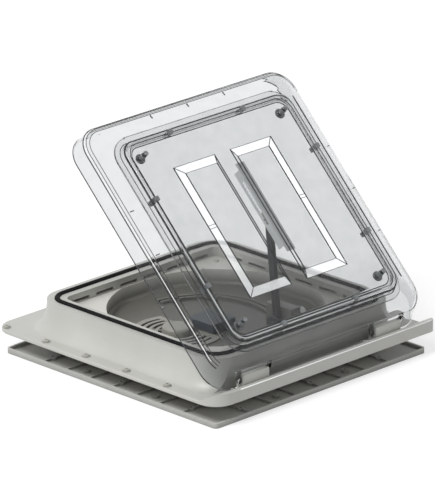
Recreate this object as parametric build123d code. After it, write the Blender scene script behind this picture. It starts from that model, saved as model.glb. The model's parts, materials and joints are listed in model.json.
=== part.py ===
from build123d import *
import math
import os

# Caravan roof vent with a tinted hinged dome, a motor-driven lift arm and a small fan
# X runs along the hinge, Y points from the hinge to the free edge, Z is up
# The origin is the centre of the roof opening, on the roof's outer surface

# Small clearances and overruns shared by the pieces
seat_gap = 0.3
fit_gap = 0.05
key_gap = 0.02
overrun = 1.0

# Roof flange of the base
flange_half_x = 261.0
flange_front = 261.0
flange_back = 270.0
flange_corner = 38.0
flange_corner_right = 11.0
flange_thick = 6.0
flange_edge_round = 2.0
lip_width = 10.0
lip_top = 21.0
lip_edge_round = 1.0

# Rim that carries the seal, and its flare down to the flange
rim_half = 198.0
rim_corner = 33.0
rim_out = 17.0
rim_in = 17.0
rim_top = 58.0
rim_skin = 3.5
rim_roof = 7.5
flare_reach = 25.0
flare_root = 8.0
flare_overlap = 4.0
front_trim = 0.5
base_wall = 3.0
neck_bottom = -22.0

# Seal in its groove
seal_half_width = 4.3
seal_depth = 4.0
seal_top = 62.4
seal_round = 4.0

# Ventilation slots below the rim
slot_length = 40.0
slot_height = 5.0
slot_pitch = 56.0
slot_count = 6
slot_z = 45.5

# Flange screws
screw_inset = 12.0
screw_pitch = 96.0
screw_side_count = 5
screw_side_last = 248.0
back_screw_pitch = 93.0
back_screw_count = 4
washer_radius = 7.2
washer_thick = 1.2
head_radius = 5.2
head_height = 2.2
shank_radius = 2.2
shank_length = 5.0
recess_width = 1.2
recess_depth = 1.0

# Hinge blocks, pins and dome brackets
hinge_y = -241.0
hinge_z = 27.0
block_side_inset = 61.6
block_length = 59.0
block_front_gap = 0.3
block_depth = 19.5
block_top = 37.0
block_round = 2.0
pin_radius = 3.0
pin_overhang = 4.6
ear_thick = 3.8
ear_gap = 0.4
ear_radius = 5.5
ear_foot_low = 4.0
ear_foot_high = 15.0
ear_foot_thick = 3.0
ear_foot_reach = 5.0
block_screw_radius = 2.0
block_screw_head = 4.0
block_screw_length = 16.0
block_screw_share = 0.25

# Dome, measured from the hinge axis while it is closed
open_angle = 45.2
dome_centre_y = -1.8
dome_half = 247.6
dome_draft = 2.3
dome_corner = 44.0
dome_bottom = -8.6
skirt_top = 28.7
shoulder_round = 8.2
dome_wall = 3.0
hinge_lean = 12.0
crown_slope = 50.6
crown_edge_top = 57.0
crown_fade = 37.0
crown_top = 60.0
notch_side_gap = 1.4
notch_height = 17.0
notch_depth = 14.0

# Inner pane of the dome
pane_wall = 3.0
pane_side_gap = 8.4
pane_flange_under = 35.7
pane_flange_thick = 2.5
pane_shelf = 12.0
bead_draft = 2.0
bead_top = 50.0
bead_width = 11.0
pane_top = 45.0
pane_corner = 40.0
panel_half_x = 114.0
panel_near = 112.0
panel_far = 368.0
panel_channel = 37.0
panel_bevel = 16.0
panel_rise = 2.0

# Fasteners between the two dome shells
post_side_inset = 83.6
post_end_inset = 84.6
post_cap_radius = 9.0
post_cap_height = 3.2
post_radius = 5.0
post_bolt_radius = 2.5
post_hole_radius = 2.8
post_nut_radius = 4.5
post_nut_height = 2.0
stud_offset = 85.0
stud_radius = 3.5
stud_low = 41.0

# Lift arm, rail and shoe
arm_x = 24.5
arm_thick = 8.0
arm_width = 12.0
pivot_y = -119.5
pivot_z = 40.0
tip_along = 236.2
tip_height = 33.5
tip_along_closed = 299.8
hub_radius = 9.0
eye_radius = 6.0
shaft_radius = 4.0
tip_pin_radius = 2.5
rail_width = 19.0
rail_wall = 2.0
rail_roof = 1.6
rail_near = 181.0
rail_far = 330.0
rail_low = 26.0
rail_slot_play = 0.6
rail_slot_margin = 8.0
shoe_front = 9.0
shoe_back = 13.0
shoe_bridge = 4.0
shoe_low = 30.5
shoe_high = 39.8
rail_screw_radius = 1.5
rail_screw_head = 3.0
rail_screw_head_height = 1.5
rail_tab = 12.0
rail_tab_thick = 2.0

# Drive gears and their housing
gear_module = 1.25
gear_teeth = 32
pinion_teeth = 10
gear_x = 36.0
gear_face = 8.0
pinion_drop = 12.5
addendum_share = 0.8
dedendum_share = 1.25
tooth_root_share = 0.248
tooth_tip_share = 0.11
housing_start = 31.0
housing_end = 50.5
housing_wall = 2.5
cover_thick = 2.5
housing_margin = 4.0
cover_screw_radius = 1.5
cover_screw_head = 2.8
cover_screw_inset = 3.4
cover_post_radius = 3.2
lift_motor_radius = 13.0
lift_motor_length = 46.0
lift_motor_cap = 6.0
lift_motor_step = 2.0
pinion_shaft_radius = 2.0
bracket_start = 12.0
bracket_thick = 5.0
bracket_width = 26.0
foot_thick = 3.0
foot_reach = 12.0

# Bowl liner with its deck and floor
deck_top = 41.0
liner_wall = 2.5
liner_corner = 15.0
bowl_radius = 184.0
floor_top = 14.0
bowl_round = 7.0
shelf_drop = 3.0
shelf_gap = 2.5
liner_screw_place = 158.0
liner_screw_head = 4.0
liner_screw_radius = 1.8
liner_screw_length = 5.0
floor_screw_x = -12.0
floor_screw_y = 115.0
ridge_x = -15.0
ridge_y = 15.0
ridge_radius = 127.0
ridge_step = 11.0
ridge_width = 4.0
ridge_height = 5.0

# Fan, its guard and its motor
fan_x = -79.0
fan_y = 13.0
fan_opening = 73.0
fan_chord = 27.0
guard_radius = 78.0
guard_thick = 2.2
guard_hub = 26.0
guard_ring_pitch = 12.0
guard_ring_width = 6.0
guard_rib_lines = 2
guard_rib_turn = 30.0
guard_rib_width = 3.0
guard_screw_ring = 75.5
guard_screw_radius = 1.2
guard_screw_head = 2.2
shroud_inner = 73.0
shroud_wall = 2.5
shroud_flange = 82.0
shroud_bottom = -18.0
fan_motor_radius = 20.0
fan_motor_bottom = -6.0
cowl_height = 11.0
cowl_round = 5.0
cup_outer = 25.5
cup_wall = 2.5
cup_top = 6.0
cup_floor = -12.0
blade_count = 7
blade_tip = 68.0
blade_chord = 27.0
blade_thick = 2.0
blade_pitch_angle = 32.0
blade_mid = -3.0
fan_shaft_radius = 2.0
fan_shaft_top = 4.0

# Control box on the bowl floor
box_x = -19.0
box_y = -8.0
box_length = 56.0
box_width = 62.0
box_height = 17.0
box_corner = 6.0
box_lid = 3.0
box_lid_round = 1.5
box_wall = 2.5

# Inner frame under the ceiling, its screws and the fly screen
frame_half = 250.0
frame_corner = 8.0
frame_bottom = -39.5
frame_floor = 3.0
frame_lip_top = -30.6
frame_lip = 4.0
sleeve_half = 197.0
sleeve_wall = 3.0
sleeve_top = -4.0
sleeve_corner = 24.0
ledge_half = 168.0
ledge_corner = 10.0
rib_count = 7
rib_pitch = 54.7
rib_thick = 2.5
rib_drop = 2.0
boss_ring = 222.0
boss_pitch = 82.0
boss_count = 5
boss_radius = 5.5
boss_hole = 2.4
boss_drop = 1.0
clamp_ring = 188.3
clamp_offset = 110.0
clamp_boss_radius = 4.6
clamp_boss_top = 20.0
clamp_hole = 2.05
clamp_shank = 2.0
clamp_head = 4.0
clamp_head_height = 3.0
clamp_sink = 5.0
clamp_end = -8.0
screen_half = 176.0
screen_bar = 10.0
screen_corner = 12.0
screen_top = -31.0
net_thick = 0.8
net_cells = 17
net_bar = 2.0
latch_pivot = 184.0
latch_length = 22.0
latch_width = 11.0
latch_thick = 2.0
latch_post_radius = 2.5
latch_head_radius = 4.0
latch_head_height = 2.0


# A box from its lowest and highest corner
def block(x0, x1, y0, y1, z0, z1):
    return Pos((x0 + x1) / 2, (y0 + y1) / 2, (z0 + z1) / 2) * Box(x1 - x0, y1 - y0, z1 - z0)


# A rod along Z, and a rod along X
def rod(x, y, z0, z1, radius):
    return Pos(x, y, (z0 + z1) / 2) * Cylinder(radius, z1 - z0)


def cross_rod(x0, x1, y, z, radius):
    return Pos((x0 + x1) / 2, y, z) * Rot(0, 90, 0) * Cylinder(radius, x1 - x0)


# A rounded square outline at a height, and a slab and a ring made from it
def outline(half, corner, z, centre_y=0):
    return Pos(0, centre_y, z) * RectangleRounded(2 * half, 2 * half, corner)


def slab(half, corner, z0, z1, centre_y=0):
    return extrude(outline(half, corner, z0, centre_y), z1 - z0)


def ring(half_out, half_in, corner_out, z0, z1, centre_y=0):
    corner_in = corner_out - (half_out - half_in)
    hole = slab(half_in, corner_in, z0 - overrun, z1 + overrun, centre_y)
    return slab(half_out, corner_out, z0, z1, centre_y) - hole


# The two signs that mirror a piece about the middle
sides = (-1, 1)


# Places along the four sides of a square ring
def side_places(distance, offsets):
    places = []
    for offset in offsets:
        for side in sides:
            places.append((side * distance, offset))
            places.append((offset, side * distance))
    return places


# Evenly spaced offsets about zero
def spread(count, pitch):
    return [(i - (count - 1) / 2) * pitch for i in range(count)]


# The dome's own frame: along is the distance from the hinge, height is above the axis
def dome_y(along):
    return hinge_y + along


def dome_z(height):
    return hinge_z + height


hinge_axis = Axis((0, hinge_y, hinge_z), (1, 0, 0))
open_sine = math.sin(math.radians(open_angle))
open_cosine = math.cos(math.radians(open_angle))


# Turn what rides on the dome to the open pose
def opened(shape):
    return shape.rotate(hinge_axis, open_angle)


# A point of the dome in the open pose
def open_point(along, height):
    y = hinge_y + along * open_cosine - height * open_sine
    z = hinge_z + along * open_sine + height * open_cosine
    return y, z


def save(shape, name):
    shape.label = name
    export_step(shape, "parts/" + name + ".step")


def group(shapes):
    return Compound(children=list(shapes))


# Places of the flange screws
flange_mid_y = (flange_back - flange_front) / 2
flange_half_y = (flange_back + flange_front) / 2
side_screw_ys = [screw_side_last - i * screw_pitch for i in range(screw_side_count)]
flange_screw_places = [(side * (flange_half_x - screw_inset), y) for side in sides for y in side_screw_ys]
back_screw_y = flange_back - screw_inset
flange_screw_places += [(x, back_screw_y) for x in spread(back_screw_count, back_screw_pitch)]
clamp_places = side_places(clamp_ring, (-clamp_offset, clamp_offset))
block_far = dome_half - block_side_inset
block_near = block_far - block_length
block_screw_offset = block_length * block_screw_share
block_mid_x = (block_near + block_far) / 2
block_back = -flange_front + lip_width + block_front_gap + block_depth
block_mid_y = block_back - block_depth / 2
block_screw_places = [
    (side * (block_mid_x + step * block_screw_offset), block_mid_y + block_depth / 4)
    for side in sides for step in sides]
wall_in = rim_half - rim_in
wall_out = rim_half + rim_out
wall_in_corner = rim_corner - rim_in
wall_out_corner = rim_corner + rim_out
liner_half = wall_in - seat_gap
deck_screw_places = [(sx * liner_screw_place, sy * liner_screw_place) for sx in sides for sy in sides]


# A closed ring swept with a profile drawn outward from the seal line
def swept_ring(profile):
    path = RectangleRounded(2 * rim_half, 2 * rim_half, rim_corner).wire()
    start, along = path @ 0, path % 0
    across = Vector(0, 0, 1).cross(along)
    outward = 1 if across.dot(start) > 0 else -1
    plane = Plane(origin=start, x_dir=across, z_dir=along)
    face = plane * (profile if outward > 0 else mirror(profile, about=Plane.YZ))
    return sweep(face, path=path)


# The flare's profile, as a block less an ellipse, and the hollow behind it
def flare_profile(skin, low, high, inner):
    reach = rim_out + flare_reach
    bar = Pos((inner + reach) / 2, (low + high) / 2) * Rectangle(reach - inner, high - low)
    scoop = Pos(reach, rim_top) * Ellipse(flare_reach + skin, rim_top - flange_thick + skin)
    return bar - scoop


# The flange's outline drawn in by an inset, with a tighter corner at the front right
def flange_sheet(inset):
    width, depth = 2 * (flange_half_x - inset), 2 * (flange_half_y - inset)
    centre = Pos(0, flange_mid_y)
    quarter = Pos(flange_half_x / 2, -flange_front / 2) * Rectangle(flange_half_x, flange_front)
    tight_corner = max(flange_corner_right - inset, overrun)
    tight = centre * RectangleRounded(width, depth, tight_corner) & quarter
    return centre * RectangleRounded(width, depth, flange_corner - inset) + tight


# The lip along the front, which runs out round the left corner
def make_lip():
    front, end = -flange_front, -flange_front + flange_corner
    band = block(-flange_half_x, flange_half_x, front, front + lip_width, 0, lip_top)
    body = extrude(flange_sheet(0), lip_top) & band
    body = fillet(body.edges().filter_by(Axis.X).group_by(Axis.Z)[-1], lip_edge_round)
    bend = extrude(flange_sheet(0) - flange_sheet(lip_width), lip_top)
    body += bend & block(-flange_half_x, -flange_half_x + flange_corner, front, end, 0, lip_top)
    slope = Polyline((front, 0), (front, lip_top), (front + lip_width, lip_top), (end, flange_thick),
                     (end, 0), close=True)
    return body & extrude(Plane.YZ * make_face(slope), flange_half_x, both=True)


# Base: flange, lip, rim, flare, neck, slots and bosses
def make_base_frame():
    plate = extrude(flange_sheet(0), flange_thick)
    plate = fillet(plate.edges().group_by(Axis.Z)[-1], flange_edge_round)
    lip = make_lip()
    wall = slab(wall_out - flare_overlap, wall_out_corner - flare_overlap, 0, rim_top)
    flare = swept_ring(flare_profile(0, flange_thick / 2, rim_top, flare_root))
    front_face = -wall_out + front_trim
    flare -= block(-flange_half_x, flange_half_x, -flange_front, front_face, 0, rim_top + overrun)
    body = plate + wall + flare + lip
    core = rim_skin + flare_overlap
    hollow = slab(wall_out - core, wall_out_corner - core, -overrun, rim_top - rim_roof)
    hollow += swept_ring(flare_profile(rim_skin, -overrun, rim_top - rim_roof, flare_root)) & block(
        -flange_half_x, flange_half_x, front_face + rim_skin, flange_back, -overrun, rim_top)
    hollow -= slab(wall_in + base_wall, wall_in_corner + base_wall, -2 * overrun, rim_top)
    body -= hollow
    body += slab(wall_in + base_wall, wall_in_corner + base_wall, neck_bottom, overrun)
    groove_half = seal_half_width + seat_gap
    body -= ring(rim_half + groove_half, rim_half - groove_half, rim_corner + groove_half,
                 rim_top - seal_depth, rim_top + overrun)
    body -= slab(wall_in, wall_in_corner, neck_bottom - overrun, rim_top + overrun)
    shelf = slab(wall_in + overrun, wall_in_corner + overrun, deck_top - liner_wall - seat_gap - shelf_drop,
                 deck_top - liner_wall - seat_gap)
    body += shelf - rod(0, 0, 0, deck_top, bowl_radius + liner_wall + shelf_gap)
    for x, y in clamp_places:
        body += rod(x, y, neck_bottom, clamp_boss_top, clamp_boss_radius) - slab(
            wall_in, wall_in_corner, neck_bottom - overrun, rim_top)
        body -= rod(x, y, neck_bottom - overrun, clamp_end + overrun, clamp_hole)
    for x, y in side_places(wall_in + base_wall / 2, spread(slot_count, slot_pitch)):
        along_x = abs(y) > abs(x)
        length_x = slot_length if along_x else 2 * base_wall
        length_y = 2 * base_wall if along_x else slot_length
        body -= Pos(x, y, slot_z) * Box(length_x, length_y, slot_height)
    for x, y in flange_screw_places:
        body -= rod(x, y, -overrun, flange_thick + overrun, shank_radius + seat_gap)
    for x, y in block_screw_places:
        body -= rod(x, y, -overrun, flange_thick + overrun, block_screw_radius + seat_gap)
        body -= rod(x, y, -overrun, flange_thick / 2, block_screw_head + seat_gap)
    for x, y in deck_screw_places:
        body -= rod(x, y, 0, deck_top, liner_screw_radius + key_gap)
    return body


# A row of pan-head screws with a washer face and a cross recess
def pan_screw(x, y, seat):
    top = seat + washer_thick + head_height
    screw = rod(x, y, seat, seat + washer_thick, washer_radius)
    dome = rod(x, y, seat, top, head_radius)
    dome = fillet(dome.edges().group_by(Axis.Z)[-1], head_height / 2)
    screw += dome + rod(x, y, seat - flange_thick - shank_length, seat, shank_radius)
    for turn in (0, 90):
        screw -= Pos(x, y, top) * Rot(0, 0, turn) * Box(head_radius, recess_width, 2 * recess_depth)
    return screw


# A hinge block, its pin, and the bracket that hangs the dome on it, for one side
def make_hinge_block(side):
    body = block(block_near, block_far, block_back - block_depth, block_back, flange_thick + key_gap,
                 block_top)
    body = fillet(body.edges().filter_by(Axis.X).group_by(Axis.Z)[-1], block_round)
    body -= cross_rod(block_near - overrun, block_far + overrun, hinge_y, hinge_z, pin_radius + key_gap)
    for step in sides:
        x = block_mid_x + step * block_screw_offset
        body -= rod(x, block_mid_y + block_depth / 4, 0, flange_thick + block_screw_length,
                    block_screw_radius + key_gap)
    return body if side > 0 else mirror(body, about=Plane.YZ)


def make_hinge_pin(side):
    pin = cross_rod(block_near - pin_overhang, block_far + pin_overhang, hinge_y, hinge_z, pin_radius)
    return pin if side > 0 else mirror(pin, about=Plane.YZ)


dome_mid_along = dome_centre_y - hinge_y


# How far along the dome the inner face of its hinge-side wall lies at a height
def hinge_wall_inside(height):
    low, high = dome_bottom - overrun, skirt_top - shoulder_round - dome_wall
    lean = (dome_draft + hinge_lean) * (height - low) / (high - low)
    return dome_mid_along - dome_half + dome_wall + lean


# One ear of a bracket: a cheek on the pin with a foot behind the dome's wall, towards a side of the block
def hinge_ear(cheek_face, step):
    low = (hinge_wall_inside(ear_foot_low) + seat_gap, ear_foot_low)
    high = (hinge_wall_inside(ear_foot_high) + seat_gap, ear_foot_high)
    high_back = (high[0] + ear_foot_thick, high[1])
    low_back = (low[0] + ear_foot_thick, low[1])
    cheek = [(-ear_radius, 0), low, high, high_back, (ear_radius, 0)]
    foot = [low, high, high_back, low_back]
    faces = []
    for corners in (cheek, foot):
        points = [(dome_y(along), dome_z(height)) for along, height in corners]
        faces.append(Plane.YZ * make_face(Polyline(*points, close=True)))
    faces[0] += Plane.YZ * (Pos(hinge_y, hinge_z) * Circle(ear_radius))
    body = Pos(cheek_face, 0, 0) * extrude(faces[0], step * ear_thick)
    body += Pos(cheek_face, 0, 0) * extrude(faces[1], step * (ear_thick + notch_side_gap + ear_foot_reach))
    return body - cross_rod(cheek_face - ear_thick - overrun, cheek_face + ear_thick + overrun, hinge_y,
                            hinge_z, pin_radius + fit_gap)


def make_hinge_bracket(side):
    ears = [hinge_ear(block_near - ear_gap, -1), hinge_ear(block_far + ear_gap, 1)]
    if side < 0:
        ears = [mirror(ear, about=Plane.YZ) for ear in ears]
    return group(ears)


# The outer dome's body at a given inset, from ruled levels, with its bottom level lowered by a drop
round_shares = (0.0, 0.2, 0.4, 0.6, 0.8, 1.0)
edge_half = dome_half - dome_draft
crown_edge_half = dome_half - crown_slope
crown_flat_half = crown_edge_half - crown_fade


# A level of the dome: a rounded square whose hinge side is drawn in by a lean
def dome_level(half, height, lean):
    corner = max(dome_corner - (dome_half - half), dome_corner / 2)
    centre = Pos(0, dome_centre_y + lean / 2, dome_z(height))
    return centre * RectangleRounded(2 * half, 2 * half - lean, corner)


def dome_body(inset, drop):
    faces = [dome_level(dome_half - inset, dome_bottom - drop, 0)]
    for share in round_shares:
        turn = math.radians(90 * share)
        half = edge_half - shoulder_round * (1 - math.cos(turn))
        height = skirt_top - shoulder_round * (1 - math.sin(turn))
        faces.append(dome_level(half - inset, height - inset, hinge_lean))
    faces.append(dome_level(crown_edge_half - inset, crown_edge_top - inset, 0))
    faces.append(dome_level(crown_flat_half - inset, crown_top - inset, 0))
    return loft(faces, ruled=True)


# Sizes of the inner pane, which follow the slope of the dome's crown over the pane's flange
pane_flange_top = pane_flange_under + pane_flange_thick
crown_rise_share = (pane_flange_top + dome_wall - skirt_top) / (crown_edge_top - skirt_top)
crown_run = edge_half - shoulder_round - crown_edge_half
pane_flange_half = edge_half - shoulder_round - crown_rise_share * crown_run - dome_wall - pane_side_gap
bead_foot_half = pane_flange_half - pane_shelf
bead_half = bead_foot_half - bead_draft
bead_inner_half = bead_half - bead_width
post_x = dome_half - post_side_inset
post_offset = dome_half - post_end_inset
stud_half = (bead_half + bead_inner_half) / 2
post_places = [(sx * post_x, dome_mid_along + sy * post_offset) for sx in sides for sy in sides]
stud_places = [(x, dome_mid_along + y) for x, y in side_places(stud_half, (-stud_offset, stud_offset))]


def make_outer_dome():
    body = dome_body(0, 0) - dome_body(dome_wall, overrun)
    for side in sides:
        near = side * (block_near - ear_gap - ear_thick - notch_side_gap)
        far = side * (block_far + ear_gap + ear_thick + notch_side_gap)
        body -= block(min(near, far), max(near, far), dome_y(dome_mid_along - dome_half - overrun),
                      dome_y(notch_depth), dome_z(dome_bottom - overrun), dome_z(notch_height))
    for x, along in post_places:
        body -= rod(x, dome_y(along), dome_z(pane_top), dome_z(crown_top + overrun), post_hole_radius)
    return body


# The pane's body above its flange, lowered by a wall to make its hollow
def pane_body(drop):
    corner = pane_corner - pane_shelf
    foot = outline(bead_foot_half - drop, corner - drop, dome_z(pane_flange_under - (overrun if drop else 0)),
                   dome_centre_y)
    crest = outline(bead_half - drop, corner - drop, dome_z(bead_top - drop), dome_centre_y)
    body = loft([foot, crest], ruled=True)
    well_low = outline(bead_inner_half - drop, corner / 2, dome_z(pane_top - drop), dome_centre_y)
    well_high = outline(bead_half - 2 * overrun - drop, corner / 2 + overrun,
                        dome_z(bead_top + overrun - drop), dome_centre_y)
    return body - loft([well_low, well_high], ruled=True)


# One of the two raised panels of the pane, with bevelled sides
def panel_rise_body(side, drop):
    near_x, far_x = panel_channel / 2, panel_half_x
    mid_x, mid_y = side * (near_x + far_x) / 2, dome_y((panel_near + panel_far) / 2)
    width, length = far_x - near_x, panel_far - panel_near
    low = Pos(mid_x, mid_y, dome_z(pane_top - drop - overrun)) * Rectangle(width, length)
    base = Pos(mid_x, mid_y, dome_z(pane_top - drop)) * Rectangle(width, length)
    top = Pos(mid_x, mid_y, dome_z(pane_top + panel_rise - drop)) * Rectangle(
        width - 2 * panel_bevel, length - 2 * panel_bevel)
    return loft([low, base], ruled=True) + loft([base, top], ruled=True)


def make_inner_pane():
    flange = slab(pane_flange_half, pane_corner, dome_z(pane_flange_under),
                  dome_z(pane_flange_under + pane_flange_thick), dome_centre_y)
    body = flange + pane_body(0)
    for side in sides:
        body += panel_rise_body(side, 0)
    body -= pane_body(pane_wall)
    for side in sides:
        body -= panel_rise_body(side, pane_wall)
    for x, along in post_places:
        body -= rod(x, dome_y(along), dome_z(0), dome_z(crown_top), post_hole_radius)
    for x, along in stud_places:
        body -= rod(x, dome_y(along), dome_z(0), dome_z(crown_top), stud_radius + seat_gap)
    return body


# Posts, bolts, caps and studs that hold the pane in the dome
pane_under = pane_top - pane_wall


def post_sleeve(x, along):
    sleeve = rod(x, dome_y(along), dome_z(pane_top + key_gap), dome_z(crown_edge_top - dome_wall),
                 post_radius)
    return sleeve - rod(x, dome_y(along), dome_z(pane_under), dome_z(crown_top), post_hole_radius)


def post_bolt(x, along):
    cap_low = pane_under - seat_gap - post_cap_height
    bolt = rod(x, dome_y(along), dome_z(cap_low), dome_z(cap_low + post_cap_height), post_cap_radius)
    bolt = fillet(bolt.edges().group_by(Axis.Z)[0], post_nut_height / 2)
    nut_low = crown_top + seat_gap
    bolt += rod(x, dome_y(along), dome_z(cap_low), dome_z(nut_low), post_bolt_radius)
    return bolt + rod(x, dome_y(along), dome_z(nut_low), dome_z(nut_low + post_nut_height), post_nut_radius)


def pane_stud(x, along):
    return rod(x, dome_y(along), dome_z(stud_low), dome_z(crown_edge_top - dome_wall - seat_gap), stud_radius)


# Slide rail: a channel with slotted walls and two screw tabs
def make_slide_rail():
    left, right = arm_x - rail_width / 2, arm_x + rail_width / 2
    top = pane_under - seat_gap
    body = block(left, right, dome_y(rail_near), dome_y(rail_far), dome_z(rail_low), dome_z(top))
    body -= block(left + rail_wall, right - rail_wall, dome_y(rail_near - overrun),
                  dome_y(rail_far + overrun), dome_z(rail_low - overrun), dome_z(top - rail_roof))
    slot_half = tip_pin_radius + rail_slot_play
    slot_near, slot_far = tip_along - rail_slot_margin, tip_along_closed + rail_slot_margin
    body -= block(left - overrun, right + overrun, dome_y(slot_near), dome_y(slot_far),
                  dome_z(tip_height - slot_half), dome_z(tip_height + slot_half))
    for along in (slot_near, slot_far):
        body -= cross_rod(left - overrun, right + overrun, dome_y(along), dome_z(tip_height), slot_half)
    for end, step in ((rail_near, -1), (rail_far, 1)):
        low, high = sorted((dome_y(end), dome_y(end + step * rail_tab)))
        body += block(left, right, low, high, dome_z(top - rail_tab_thick), dome_z(top))
        body -= rod(arm_x, dome_y(end + step * rail_tab / 2), dome_z(rail_low), dome_z(top + overrun),
                    rail_screw_radius + seat_gap)
    return body


def rail_screw(end, step):
    y = dome_y(end + step * rail_tab / 2)
    seat = pane_under - seat_gap - rail_tab_thick
    screw = rod(arm_x, y, dome_z(seat - rail_screw_head_height), dome_z(seat), rail_screw_head)
    return screw + rod(arm_x, y, dome_z(seat), dome_z(pane_under - key_gap), rail_screw_radius)


# Shoe and pin at the arm's tip, drawn in the dome's frame
def make_slide_shoe():
    half = rail_width / 2 - rail_wall - seat_gap
    body = block(arm_x - half, arm_x + half, dome_y(tip_along - shoe_front), dome_y(tip_along + shoe_back),
                 dome_z(shoe_low), dome_z(shoe_high))
    gap = arm_thick / 2 + seat_gap
    body -= block(arm_x - gap, arm_x + gap, dome_y(tip_along - shoe_front - overrun),
                  dome_y(tip_along + shoe_back - shoe_bridge), dome_z(shoe_low - overrun),
                  dome_z(shoe_high + overrun))
    return body - cross_rod(arm_x - rail_width, arm_x + rail_width, dome_y(tip_along), dome_z(tip_height),
                            tip_pin_radius + key_gap)


def make_shoe_pin():
    half = rail_width / 2 + seat_gap
    return cross_rod(arm_x - half, arm_x + half, dome_y(tip_along), dome_z(tip_height), tip_pin_radius)


# Lift arm from the shaft to the tip, in the open pose
def make_lift_arm():
    tip_y, tip_z = open_point(tip_along, tip_height)
    reach = math.hypot(tip_y - pivot_y, tip_z - pivot_z)
    slope = math.degrees(math.atan2(tip_z - pivot_z, tip_y - pivot_y))
    left, right = arm_x - arm_thick / 2, arm_x + arm_thick / 2
    bar = Pos(arm_x, 0, 0) * Box(arm_thick, reach, arm_width)
    bar = Pos(0, pivot_y, pivot_z) * Rot(slope, 0, 0) * Pos(0, reach / 2, 0) * bar
    body = bar + cross_rod(left, right, pivot_y, pivot_z, hub_radius)
    body += cross_rod(left, right, tip_y, tip_z, eye_radius)
    body -= cross_rod(left - overrun, right + overrun, pivot_y, pivot_z, shaft_radius + key_gap)
    return body - cross_rod(left - overrun, right + overrun, tip_y, tip_z, tip_pin_radius + fit_gap)


# A spur gear with straight-flanked teeth, drawn about X
def make_gear(teeth, x0, x1, y, z, bore, phase):
    pitch_radius = gear_module * teeth / 2
    tip = pitch_radius + addendum_share * gear_module
    root = pitch_radius - dedendum_share * gear_module
    pitch_angle = 2 * math.pi / teeth
    points = []
    for tooth in range(teeth):
        middle = tooth * pitch_angle + phase
        for radius, share in ((root, -tooth_root_share), (tip, -tooth_tip_share), (tip, tooth_tip_share),
                              (root, tooth_root_share)):
            angle = middle + share * pitch_angle
            points.append((y + radius * math.cos(angle), z + radius * math.sin(angle)))
    profile = Plane.YZ * make_face(Polyline(*points, close=True))
    body = Pos(x0, 0, 0) * extrude(profile, x1 - x0)
    return body - cross_rod(x0 - overrun, x1 + overrun, y, z, bore)


centre_distance = gear_module * (gear_teeth + pinion_teeth) / 2
pinion_z = pivot_z - pinion_drop
pinion_y = pivot_y + math.sqrt(centre_distance ** 2 - pinion_drop ** 2)
mesh_angle = math.atan2(pinion_z - pivot_z, pinion_y - pivot_y)


def make_drive_gear():
    return make_gear(gear_teeth, gear_x, gear_x + gear_face, pivot_y, pivot_z, shaft_radius + key_gap,
                     mesh_angle)


def make_pinion():
    phase = mesh_angle + math.pi + math.pi / pinion_teeth
    return make_gear(pinion_teeth, gear_x - seat_gap, gear_x + gear_face + seat_gap, pinion_y, pinion_z,
                     pinion_shaft_radius + key_gap, phase)


# Housing, cover and screws round the gears
gear_tip = gear_module * (gear_teeth / 2 + addendum_share)
house_y0 = pivot_y - gear_tip - housing_margin
house_y1 = pinion_y + gear_module * pinion_teeth / 2 + housing_margin
house_z0 = floor_top + seat_gap
house_z1 = pivot_z + gear_tip + housing_margin
cover_screw_places = [(y, z) for y in (house_y0 + cover_screw_inset, house_y1 - cover_screw_inset)
                      for z in (house_z0 + cover_screw_inset, house_z1 - cover_screw_inset)]


def make_gear_housing():
    body = block(housing_start, housing_end, house_y0, house_y1, house_z0, house_z1)
    body -= block(housing_start + housing_wall, housing_end + overrun, house_y0 + housing_wall,
                  house_y1 - housing_wall, house_z0 + housing_wall, house_z1 - housing_wall)
    for y, z in cover_screw_places:
        body += cross_rod(housing_start + housing_wall, housing_end, y, z, cover_post_radius)
        body -= cross_rod(housing_end - 2 * housing_wall, housing_end + overrun, y, z,
                          cover_screw_radius + key_gap)
    body -= cross_rod(housing_start - overrun, housing_start + housing_wall + overrun, pivot_y, pivot_z,
                      shaft_radius + fit_gap)
    return body


def make_gear_cover():
    inner, outer = housing_end + key_gap, housing_end + key_gap + cover_thick
    body = block(inner, outer, house_y0, house_y1, house_z0, house_z1)
    body -= cross_rod(inner - overrun, outer + overrun, pivot_y, pivot_z, shaft_radius + fit_gap)
    body -= cross_rod(inner - overrun, outer + overrun, pinion_y, pinion_z, pinion_shaft_radius + fit_gap)
    for y, z in cover_screw_places:
        body -= cross_rod(inner - overrun, outer + overrun, y, z, cover_screw_radius + seat_gap)
    return body


cover_face = housing_end + key_gap + cover_thick


def cover_screw(y, z):
    screw = cross_rod(cover_face + key_gap, cover_face + key_gap + cover_screw_radius, y, z, cover_screw_head)
    return screw + cross_rod(housing_end - housing_wall, cover_face + key_gap, y, z, cover_screw_radius)


def make_lift_motor():
    start = cover_face + seat_gap + 2 * cover_screw_radius
    body = cross_rod(start, start + lift_motor_length, pinion_y, pinion_z, lift_motor_radius)
    end = start + lift_motor_length
    body += cross_rod(end, end + lift_motor_cap, pinion_y, pinion_z, lift_motor_radius - lift_motor_step)
    body += cross_rod(cover_face + seat_gap, start, pinion_y, pinion_z, lift_motor_radius / 2)
    return body - cross_rod(0, start + housing_wall, pinion_y, pinion_z, pinion_shaft_radius + fit_gap)


def make_pinion_shaft():
    start = cover_face + seat_gap + 2 * cover_screw_radius
    return cross_rod(housing_start + housing_wall + seat_gap, start + housing_wall - seat_gap, pinion_y,
                     pinion_z, pinion_shaft_radius)


def make_arm_shaft():
    return cross_rod(bracket_start + seat_gap, cover_face - seat_gap, pivot_y, pivot_z, shaft_radius)


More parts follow.
